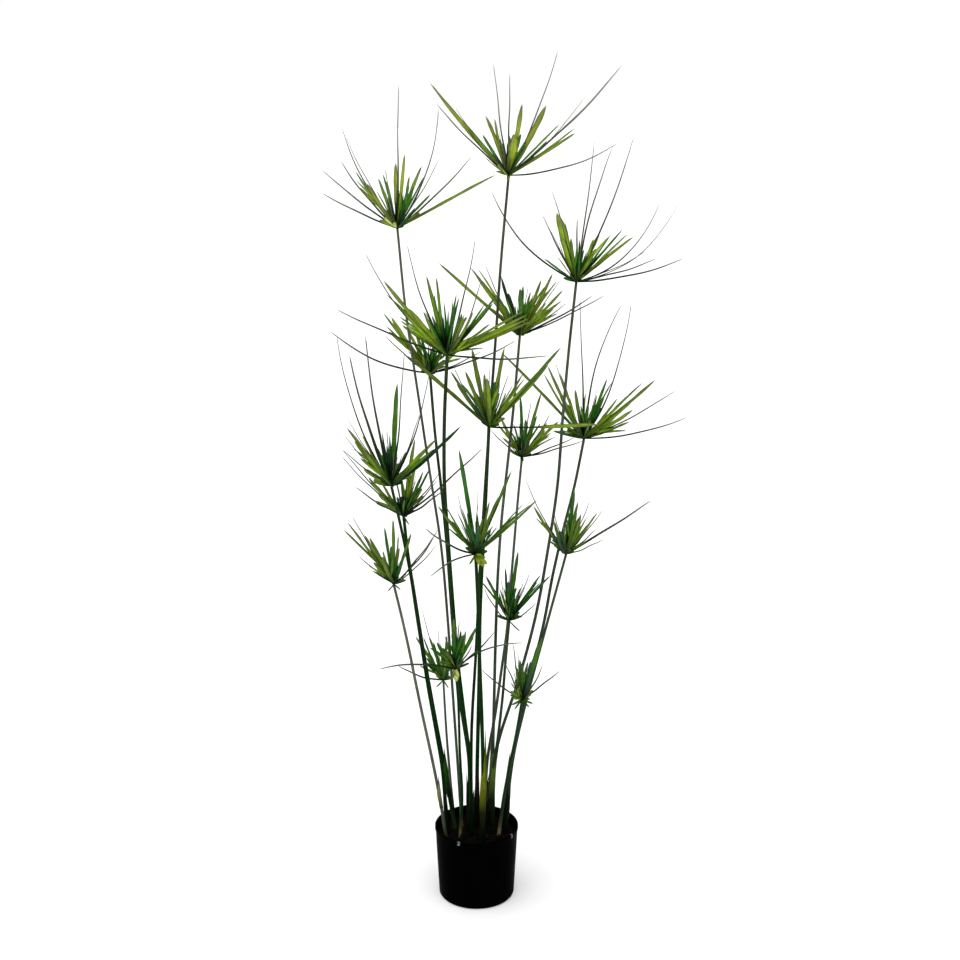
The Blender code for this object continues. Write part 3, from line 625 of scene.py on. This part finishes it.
def tip_of(corners, head_seen, right, up):
    """The place seen at (right, up) from the head, as deep as the nearest tip of the umbel's solid."""
    aim = head_seen + Vector((right * MM, 0, up * MM))
    nearest = min(corners, key=lambda corner: (seen_from_front(corner) - aim).length)
    return EYE + (aim - EYE) * ((nearest.y - EYE.y) / (aim.y - EYE.y))


def side_tip(chance, foot, side, fill, reach, over=0.0):
    """The tip of a bract that points at the viewer (side -1) or away (side 1), lifted by some more."""
    azimuth = side * math.pi / 2 + chance.uniform(-fill.stray, fill.stray)
    lift = math.radians(chance.uniform(*fill.lift) + over)
    return foot + aim_at(azimuth, lift) * reach * chance.uniform(*fill.length)


def round_tip(chance, foot, turn, fill, reach=1.0, sight_lift=0.0):
    """The tip of the next bract round a hub, which rises more the more it points at the viewer.

    The viewer looks down on the hub by the sight's lift, and the bract shows above the hub.
    """
    azimuth = GOLDEN_ANGLE * turn + chance.uniform(-fill.stray, fill.stray)
    lift = math.radians(chance.uniform(*fill.lift)) + sight_lift * max(0.0, -math.sin(azimuth))
    return foot + aim_at(azimuth, lift) * reach * chance.uniform(*fill.length)


def fill_umbel(art, chance, foot, umbel, hub_shade):
    """The bracts that no list names: heart, front and back, strands, collar and chaff."""
    reach = umbel.reach * MM
    sight_lift = math.atan2(EYE.z - foot.z, foot.y - EYE.y)
    for turn in range(HEART.count):
        tip = round_tip(chance, foot, turn, HEART, reach)
        width = chance.uniform(*HEART.width)
        tone = umbel.core + chance.uniform(*HEART.tone)
        blade(art, chance, foot, tip, width, tone, HEART.dark * hub_shade, POINT)
    for side, fill, over in ((-1, FRONT, math.degrees(max(sight_lift, 0.0))), (1, BACK, 0.0)):
        for _ in range(fill.count):
            tip = side_tip(chance, foot, side, fill, reach, over)
            tone = umbel.core + chance.uniform(*fill.tone)
            width = chance.uniform(*fill.width)
            blade(art, chance, foot, tip, width, tone, fill.dark, sight=RIGHT)
        for _ in range(STRAND.count):
            tip = side_tip(chance, foot, side, STRAND, reach)
            thread(art, chance, foot, tip, STRAND_WIDTH, chance.uniform(*STRAND_BOW))
    for turn in range(COLLAR.count):
        tip = round_tip(chance, foot, turn, COLLAR, sight_lift=sight_lift)
        tone = umbel.core + chance.uniform(*COLLAR.tone)
        width = chance.uniform(*COLLAR.width)
        blade(art, chance, foot, tip, width, tone, COLLAR.dark)
    for turn in range(CHAFF.count):
        tip = round_tip(chance, foot, turn, CHAFF, sight_lift=sight_lift)
        width = chance.uniform(*CHAFF.width)
        tone = chance.uniform(*CHAFF.tone)
        blade(art, chance, foot, tip, width, tone, CHAFF.dark)


def fork_arm(art, chance, foot, tip, width, tone):
    """The second arm of a forked strip, which leaves it before its middle and ends a little short of it."""
    side = width_of(tip - foot, foot - EYE) * chance.choice((-1, 1))
    fork = foot.lerp(tip, chance.uniform(*ARM_FORK)) + side * width * ARM_START
    end = foot.lerp(tip, chance.uniform(*ARM_END)) + side * width * chance.uniform(*ARM_GAP)
    tone += chance.uniform(*ARM_TONE)
    blade(art, chance, fork, end, width * ARM_WIDTH, tone, 0.0, ARM, arch=0.0, start=0.0)


def make_umbel(number, umbel, material):
    chance = random.Random(SEED * SEEDS_APART + number)
    node = f"umbel_{number:02d}"
    top, radius = level_rings(f"stem_{number:02d}")[-1]
    head = top + UP * CLEARANCE
    foot = head + UP * HUB_RISE
    head_seen = seen_from_front(head)
    corners = solid_corners(node)
    hub_shade = BLACK_HUB_FOOT_SHADE if umbel.core < 0 else HUB_FOOT_SHADE
    art = Drawing("along", "tone", "side", "dark", "grey")
    hub(art, head, radius)
    for right, up, width, tone, *shape in umbel.leaves:
        tip = tip_of(corners, head_seen, right, up)
        shape = shape[0] if shape else FORK
        width *= TURNED * MM
        dark = hub_shade if shape is LATE or tone < DARK_TONE else LEAF_FOOT_SHADE
        blade(art, chance, foot, tip, width, tone, dark, shape, chance.uniform(*LEAF_ARCH))
        if shape is FORK:
            fork_arm(art, chance, foot, tip, width, tone)
    for right, up, bow, *width in umbel.threads:
        tip = tip_of(corners, head_seen, right, up)
        long = not width and (tip - foot).length > LONG_THREAD
        width = width[0] if width else LONG_THREAD_WIDTH if long else THREAD_WIDTH
        look = (WHIP, FLAT_THREAD) if long or width >= THICK_THREAD else (THREAD, 1.0)
        thread(art, chance, foot, tip, width * MM, bow / 100, *look)
    for right, up, width, tone in umbel.scales:
        aim = Vector((right, -SCALE_REACH - SCALE_LEAN * math.hypot(right, up), up)) * MM
        blade(art, chance, foot, foot + aim, width * MM, tone, 0.0, start=0.0)
    fill_umbel(art, chance, foot, umbel, hub_shade)
    return art.piece(f"sedge_umbel_{number:02d}", material, "bract_green", node)


# Stems

def sheath(art, line, low, high, inner, thick, azimuth, skin):
    """A leaf sheath wrapped round the foot of a stem, pointed on one side."""
    shells = ([], [])
    for step in range(SHEATH_STEPS + 1):
        share = step / SHEATH_STEPS
        for shell, depth in zip(shells, (0, SHEATH_SKIN)):
            grown = []
            for angle in angles(SHEATH_SIDES):
                point = ((1 + math.cos(angle - azimuth)) / 2) ** POINT_POWER
                height = low + (high - low) * share * (1 - SHEATH_POINT + SHEATH_POINT * point)
                bulge = thick * share_at(BULGE, share) + SHEATH_LEAN * point * share ** LEAN_POWER
                place = line(height) + aim_at(angle, 0) * (inner(height) + bulge - depth)
                grown.append(art.corner(place, angle * TURN_MAP, height, height=height,
                                        skin=skin, sheathed=1, tip=share * point))
            shell.append(grown)
    for shell in shells:
        for before, after in zip(shell, shell[1:]):
            art.bridge(before, after)
    art.bridge(shells[0][-1], shells[1][-1])
    art.bridge(shells[0][0], shells[1][0])


def make_stem(number, stem, material):
    node = f"stem_{number:02d}"
    rings = level_rings(node)
    line = smooth_line(rings)
    bottom, soil, top = rings[0][0].z, rings[1][0].z, rings[-1][0].z
    thick, thin = rings[1][1] * STEM_GIRTH, rings[-1][1]

    def radius(height):
        return stem.fullness * (thick + (thin - thick) * max(0.0, (height - soil) / (top - soil)))

    art = Drawing("height", "tone", "foot", "skin", "sheathed", "tip")
    ring = None
    for step in range(STEM_STEPS + 1):
        height = bottom + (top - bottom) * step / STEM_STEPS
        grown = []
        for side, angle in enumerate(angles(STEM_SIDES)):
            reach = radius(height) * (1 + RIB_HEIGHT * (-1) ** side)
            place = line(height) + aim_at(angle, 0) * reach
            grown.append(art.corner(place, angle * TURN_MAP, height, height=height, tone=stem.grey,
                                    foot=stem.foot, skin=0, sheathed=0, tip=0))
        ring = art.grow(ring, grown)
    art.close(ring)
    for low, high, layer, azimuth, skin in stem.sheaths:
        sheath(art, line, low * MM, high * MM, radius, layer * MM, math.radians(azimuth), skin)
    return art.piece(f"sedge_stem_{number:02d}", material, "stem_green", node)


# Pot and soil

def is_worn(angle):
    """Whether an angle round the rim is in one of the two spots that carry a painted highlight."""
    return any(abs(angle - math.radians(spot)) < RIM_GLINT_REACH for spot in RIM_GLINTS)


def lathe(art, profile, lip):
    """The surface that a profile of (radius, height) sweeps, whose part above the lip has spots of painted
    highlight.
    """
    rings = []
    for radius, height in profile:
        ring = []
        for angle in angles(POT_SIDES):
            worn = float(height > lip and is_worn(angle))
            ring.append(art.corner((radius * math.cos(angle), radius * math.sin(angle), height), worn=worn))
        rings.append(ring)
    for low, high in zip(rings, rings[1:]):
        art.bridge(low, high)
    art.close(rings[0])
    art.close(rings[-1])


def arc(radius, height, size, start, end, steps=6):
    """A rounded corner about (radius, height), between two angles in degrees."""
    for step in range(steps + 1):
        angle = math.radians(start + (end - start) * step / steps)
        yield radius + size * math.cos(angle), height + size * math.sin(angle)


def make_pot(material):
    low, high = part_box("pot")
    rim, top = high[0], high[2]
    wall = rim - LIP_OUT
    foot = rim - FOOT_IN
    lip = top - LIP_HEIGHT
    ring_start, ring_end = FOOT_RING
    slope_start, slope_end = LIP_SLOPE
    profile = [(POT_MIDDLE, RECESS), (foot - ring_start, RECESS), (foot - ring_end, 0.0)]
    profile += list(arc(foot - FOOT_ROUND, FOOT_ROUND, FOOT_ROUND, -90, 0))
    for share in WALL_STEPS:
        profile.append((foot + (wall - foot) * share, FOOT_ROUND + (lip - FOOT_ROUND) * share))
    profile += [(wall - LIP_EDGE, lip - LIP_GROOVE), (wall, lip)]
    profile += [(rim - LIP_EDGE, lip + slope_start), (rim, lip + slope_end)]
    profile += list(arc(rim - RIM_ROUND, top - RIM_ROUND, RIM_ROUND, 0, 90))
    profile += list(arc(rim - RIM_FLAT, top - RIM_INNER_ROUND, RIM_INNER_ROUND, 90, 180, 4))
    profile += [(rim - LIP_WALL, lip), (wall - WALL, lip - LIP_STEP)]
    profile += [(foot - FLOOR_CORNER, FLOOR_TOP), (POT_MIDDLE, FLOOR_TOP)]
    art = Drawing("worn")
    lathe(art, profile, lip)
    return art.piece("sedge_pot", material, "pot_black", "pot", sharp=35)


def crumb(art, chance, place, size, tone):
    """One lump of soil, a dented ball squashed flat."""
    ball = bmesh.ops.create_icosphere(art.bm, subdivisions=1, radius=1)["verts"]
    roll = chance.uniform(0, CRUMB_TURN)
    axis = aim_at(chance.uniform(0, CRUMB_TURN), chance.uniform(-CRUMB_TILT, CRUMB_TILT))
    turn = Matrix.Rotation(roll, 3, axis)
    stretch = Vector([chance.uniform(*span) for span in CRUMB_STRETCH])
    offset = Vector((chance.uniform(0, CRUMB_SHIFT), chance.uniform(0, CRUMB_SHIFT), 0))
    for vert in ball:
        dent = 1 + CRUMB_DENT * noise.noise(vert.co * CRUMB_DENTS + offset)
        local = Vector(a * b for a, b in zip(vert.co, stretch)) * dent
        vert.co = place + turn @ local * size
        vert[art.layers["tone"]] = tone
        art.map[vert] = (0, 0)


def make_soil(material):
    chance = random.Random(SEED)
    low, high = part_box("soil")
    level = high[2]
    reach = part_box("pot")[1][0] - SOIL_GAP

    def ground(x, y):
        place = Vector((x, y, 0))
        rough = sum(height * noise.noise(place * density) for height, density in SOIL_LUMPS)
        return level - SOIL_SINK + rough - SOIL_EDGE_SINK * (place.length / reach) ** EDGE_POWER

    art = Drawing("tone")
    rings = []
    for step in range(1, SOIL_RINGS + 1):
        radius = reach * step / SOIL_RINGS
        ring = []
        for angle in angles(SOIL_SIDES):
            x, y = radius * math.cos(angle), radius * math.sin(angle)
            tone = SOIL_TONE + SOIL_TONE * noise.noise(Vector((x, y, 0)) * SOIL_GRAIN)
            ring.append(art.corner((x, y, ground(x, y)), tone=tone))
        rings.append(ring)
    under = [art.corner((vert.co.x, vert.co.y, level - SOIL_DEPTH), tone=0) for vert in rings[-1]]
    for inner, outer in zip(rings, rings[1:] + [under]):
        art.bridge(inner, outer)
    art.close(rings[0])
    art.close(under)
    for _ in range(CRUMBS):
        size = CRUMB_SIZE + CRUMB_GROWTH * chance.random() ** CRUMB_POWER
        spread = (reach - size * CRUMB_MARGIN) * math.sqrt(chance.random())
        angle = chance.uniform(0, 2 * math.pi)
        x, y = spread * math.cos(angle), spread * math.sin(angle)
        crumb(art, chance, Vector((x, y, ground(x, y) + size * CRUMB_RISE)), size, chance.random())
    return art.piece("sedge_soil", material, "soil_brown", "soil", sharp=40)


# Materials

class Nodes:
    """A short way to write a material's nodes."""

    def __init__(self, name, roughness, specular):
        self.material = bpy.data.materials.new(name)
        self.material.use_nodes = True
        self.tree = self.material.node_tree
        self.shader = self.tree.nodes["Principled BSDF"]
        self.shader.inputs["Roughness"].default_value = roughness
        self.shader.inputs["Specular IOR Level"].default_value = specular

    def add(self, kind, **settings):
        node = self.tree.nodes.new(kind)
        for name, value in settings.items():
            setattr(node, name, value)
        return node

    def feed(self, value, target):
        """Sets a socket to a number or a colour, or links an output to it."""
        if isinstance(value, (int, float)):
            target.default_value = value
        elif isinstance(value, tuple):
            target.default_value = (*value, 1) if target.type == "RGBA" else value
        else:
            self.tree.links.new(value, target)

    def number(self, name):
        """A number that the mesh carries."""
        return self.add("ShaderNodeAttribute", attribute_name=name).outputs["Fac"]

    def ramp(self, source, *stops):
        node = self.add("ShaderNodeValToRGB")
        elements = node.color_ramp.elements
        while len(elements) < len(stops):
            elements.new(0.5)
        for element, (place, colour) in zip(elements, stops):
            element.position = place
            element.color = (*(colour if isinstance(colour, tuple) else (colour,) * 3), 1)
        self.feed(source, node.inputs["Fac"])
        return node.outputs["Color"]

    def noise(self, scale, detail=3.0, stretch=(1, 1, 1), source="Object"):
        mapping = self.add("ShaderNodeMapping")
        mapping.inputs["Scale"].default_value = stretch
        self.feed(self.add("ShaderNodeTexCoord").outputs[source], mapping.inputs["Vector"])
        node = self.add("ShaderNodeTexNoise")
        node.inputs["Scale"].default_value = scale
        node.inputs["Detail"].default_value = detail
        self.feed(mapping.outputs["Vector"], node.inputs["Vector"])
        return node.outputs["Fac"]

    def math(self, operation, first, second=0.0):
        node = self.add("ShaderNodeMath", operation=operation)
        self.feed(first, node.inputs[0])
        self.feed(second, node.inputs[1])
        return node.outputs["Value"]

    def mix(self, share, first, second, blend="MIX"):
        node = self.add("ShaderNodeMix", data_type="RGBA", blend_type=blend)
        self.feed(share, node.inputs[0])
        self.feed(first, node.inputs[6])
        self.feed(second, node.inputs[7])
        return node.outputs[2]

    def times(self, colour, factor):
        return self.mix(1.0, colour, factor, "MULTIPLY")

    def bump(self, height, strength, distance):
        node = self.add("ShaderNodeBump")
        node.inputs["Strength"].default_value = strength
        node.inputs["Distance"].default_value = distance
        self.feed(height, node.inputs["Height"])
        self.feed(node.outputs["Normal"], self.shader.inputs["Normal"])

    def finish(self, colour):
        self.feed(colour, self.shader.inputs["Base Color"])
        return self.material


def bract_material():
    n = Nodes("bract", 0.55, 0.03)
    # The tones from -1 to 3 run over the ramp from 0 to 1
    tone = n.math("DIVIDE", n.math("ADD", n.number("tone"), 1), 4)
    body = n.ramp(tone, (0, (0.003, 0.014, 0.004)), (0.25, (0.006, 0.07, 0.009)),
                  (0.375, (0.03, 0.14, 0.008)), (0.5, (0.14, 0.2, 0.02)), (0.625, (0.2, 0.33, 0.01)),
                  (0.75, (0.42, 0.5, 0.05)), (1, (0.66, 0.72, 0.3)))
    # Low umbels stand in the shade of the high ones, which are the palest, and pale bracts don't darken
    high = n.add("ShaderNodeSeparateXYZ")
    n.feed(n.add("ShaderNodeTexCoord").outputs["Object"], high.inputs[0])
    shade = n.ramp(n.math("MULTIPLY", high.outputs["Z"], 0.8), (0.32, (0.6, 0.76, 0.64)),
                   (0.5, (0.72, 0.79, 0.7)), (0.7, (1, 1, 1)), (0.77, (1, 1, 1)), (0.85, (1.45, 1.2, 1.7)))
    body = n.mix(n.ramp(tone, (0.6, 1.0), (0.72, 0.0)), body, shade, "MULTIPLY")
    # Painted shade: the foot of a bract, among the others at the hub, is darkened towards nearly black, and
    # its tip is dry
    along = n.number("along")
    low = n.math("MULTIPLY", n.ramp(along, (0, 1.0), (0.25, 0.9), (0.6, 0.0)), n.number("dark"))
    colour = n.mix(n.math("MINIMUM", low, 1), body, (0.002, 0.01, 0.002))
    tip = n.ramp(tone, (0, (0.03, 0.035, 0.03)), (0.25, (0.025, 0.07, 0.025)), (0.4, (0.05, 0.08, 0.03)),
                 (0.5, (0.08, 0.09, 0.04)), (0.75, (0.2, 0.22, 0.05)))
    colour = n.mix(n.ramp(along, (0.66, 0.0), (1, 0.75)), colour, tip)
    # Threads are grey, and paler in the highest umbels
    strand = n.ramp(along, (0.1, (0.003, 0.014, 0.002)), (0.3, (0.012, 0.02, 0.008)),
                    (0.6, (0.045, 0.052, 0.036)), (1, (0.1, 0.105, 0.085)))
    pale = n.ramp(along, (0.1, (0.01, 0.018, 0.006)), (0.3, (0.04, 0.045, 0.03)), (0.6, (0.11, 0.12, 0.09)),
                  (1, (0.2, 0.2, 0.17)))
    strand = n.mix(n.ramp(high.outputs["Z"], (0.9, 0.0), (1, 1.0)), strand, pale)
    colour = n.mix(n.number("grey"), colour, strand)
    # The fold and the edges are darker than the blade between them
    across = n.math("ABSOLUTE", n.number("side"))
    colour = n.times(colour, n.ramp(across, (0, 0.85), (0.14, 1.2), (0.5, 1.15), (0.78, 0.6), (1, 0.35)))
    streak = n.noise(1.0, 2.0, (5200, 60, 1), "UV")
    colour = n.times(colour, n.ramp(streak, (0.25, 0.7), (0.75, 1.3)))
    colour = n.times(colour, n.ramp(n.noise(70), (0.3, 0.82), (0.7, 1.18)))
    n.bump(streak, 0.35, 0.0003)
    return n.finish(colour)


def stem_material():
    n = Nodes("stem", 0.5, 0.015)
    height = n.number("height")
    body = n.ramp(height, (0.1, (0.0008, 0.004, 0.0006)), (0.17, (0.001, 0.014, 0.001)),
                  (0.3, (0.002, 0.019, 0.0015)), (0.55, (0.007, 0.026, 0.004)), (0.8, (0.022, 0.034, 0.014)),
                  (1, (0.05, 0.058, 0.035)))
    grey = n.math("MULTIPLY", n.number("tone"), n.ramp(height, (0.12, 0.35), (0.5, 1.0)))
    body = n.mix(n.math("MINIMUM", grey, 1), body, (0.075, 0.085, 0.065))
    # Inside the pot and just above its rim the foot's colour takes over, whose dark end is painted shade and
    # whose pale end is the stem's own colour
    foot = n.ramp(n.math("DIVIDE", n.number("foot"), 2), (0, (0.0015, 0.0015, 0.001)),
                  (0.25, (0.004, 0.006, 0.002)), (0.5, (0.01, 0.035, 0.004)), (0.8, (0.07, 0.06, 0.024)),
                  (1, (0.26, 0.175, 0.1)))
    colour = n.mix(n.ramp(height, (0.1, 1.0), (0.115, 0.6), (0.13, 0.15), (0.15, 0.0)), body, foot)
    # Painted shade: sheaths are darkened towards nearly black low down, near the pot, and they are dark at
    # their points
    skin = n.ramp(n.math("DIVIDE", n.number("skin"), 3), (0, (0.0015, 0.0015, 0.001)),
                  (0.33, (0.008, 0.045, 0.003)), (0.5, (0.05, 0.085, 0.01)), (0.67, (0.1, 0.115, 0.003)),
                  (1, (0.3, 0.27, 0.16)))
    skin = n.mix(n.ramp(height, (0.12, 1.0), (0.15, 0.95), (0.19, 0.0)), skin, (0.002, 0.004, 0.0015))
    colour = n.mix(n.number("sheathed"), colour, skin)
    streak = n.noise(900, 3.0, (1, 1, 0.03))
    colour = n.times(colour, n.ramp(streak, (0.3, 0.7), (0.7, 1.3)))
    colour = n.times(colour, n.ramp(n.noise(24, 3.0, (3, 3, 0.6)), (0.3, 0.7), (0.7, 1.3)))
    colour = n.mix(n.ramp(n.number("tip"), (0.3, 0.0), (0.8, 0.85)), colour, (0.012, 0.01, 0.006))
    n.bump(streak, 0.3, 0.0003)
    return n.finish(colour)


def pot_material():
    n = Nodes("pot", 0.35, 0.002)
    cloud = n.noise(26)
    colour = n.ramp(cloud, (0.3, (0.0002, 0.0002, 0.0003)), (0.7, (0.0005, 0.0005, 0.0006)))
    scuff = n.ramp(n.noise(60, 4.0, (1, 1, 7)), (0.62, 0.0), (0.78, 0.3))
    colour = n.mix(scuff, colour, (0.003, 0.003, 0.003))
    # Painted highlights: two pale glints on the rim's top edge, as if it caught the light
    painted_glint = n.math("MULTIPLY", n.number("worn"), n.ramp(n.noise(500), (0.42, 0.0), (0.5, 1.0)))
    colour = n.mix(painted_glint, colour, (0.22, 0.23, 0.25))
    n.feed(n.ramp(cloud, (0.3, 0.32), (0.7, 0.48)), n.shader.inputs["Roughness"])
    n.bump(n.noise(1400, 2.0), 0.12, 0.0002)
    return n.finish(colour)


def soil_material():
    n = Nodes("soil", 0.95, 0.03)
    grain = n.noise(900, 4.0)
    colour = n.ramp(n.number("tone"), (0, (0.0015, 0.0012, 0.001)), (0.6, (0.004, 0.003, 0.002)),
                    (0.9, (0.006, 0.004, 0.003)), (1, (0.012, 0.008, 0.005)))
    colour = n.times(colour, n.ramp(grain, (0.3, 0.6), (0.7, 1.4)))
    n.bump(grain, 0.6, 0.0008)
    return n.finish(colour)


# Stage

def make_stage():
    bpy.ops.mesh.primitive_plane_add(size=FLOOR_SIZE)
    floor = bpy.context.object
    floor.name = "floor"
    material = bpy.data.materials.new("floor")
    material.use_nodes = True
    shader = material.node_tree.nodes["Principled BSDF"]
    shader.inputs["Base Color"].default_value = (*FLOOR_COLOUR, 1)
    shader.inputs["Roughness"].default_value = 0.95
    shader.inputs["Specular IOR Level"].default_value = 0.0
    floor.data.materials.append(material)
    floor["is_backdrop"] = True


def make_sky():
    """A studio tent, brightest round the horizon."""
    world = bpy.data.worlds.new("studio")
    bpy.context.scene.world = world
    world.use_nodes = True
    tree = world.node_tree
    split = tree.nodes.new("ShaderNodeSeparateXYZ")
    ramp = tree.nodes.new("ShaderNodeValToRGB")
    first, last = ramp.color_ramp.elements
    first.position, last.position = SKY_FADE
    first.color = (SKY_BAND,) * 3 + (1,)
    last.color = (SKY_TOP,) * 3 + (1,)
    tree.links.new(tree.nodes.new("ShaderNodeTexCoord").outputs["Generated"], split.inputs["Vector"])
    tree.links.new(split.outputs["Z"], ramp.inputs["Fac"])
    tree.links.new(ramp.outputs["Color"], tree.nodes["Background"].inputs["Color"])


def add_sun():
    data = bpy.data.lights.new("key", "SUN")
    data.energy = KEY_STRENGTH
    data.angle = KEY_ANGLE
    light = bpy.data.objects.new("key", data)
    light.rotation_euler = Vector(KEY_FROM).to_track_quat("Z", "Y").to_euler()
    bpy.context.scene.collection.objects.link(light)


def add_camera():
    data = bpy.data.cameras.new("camera")
    data.lens = FOCAL_LENGTH
    data.sensor_width = SENSOR
    camera = bpy.data.objects.new("camera", data)
    camera.location = EYE
    camera.rotation_euler = (math.pi / 2 + CAMERA_PITCH, 0, 0)
    bpy.context.scene.collection.objects.link(camera)
    bpy.context.scene.camera = camera


def write_sizes():
    boxes = {"cad": cad_box, "visual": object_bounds()}
    {name: [list(low), list(high)] for name, (low, high) in boxes.items()}


add_camera()
make_stage()
make_sky()
add_sun()
bpy.context.scene.view_settings.view_transform = "Standard"
bract_green = bract_material()
stem_green = stem_material()
for number, (umbel, stem) in enumerate(zip(UMBELS, STEMS), 1):
    make_stem(number, stem, stem_green)
    make_umbel(number, umbel, bract_green)
make_pot(pot_material())
make_soil(soil_material())
write_sizes()
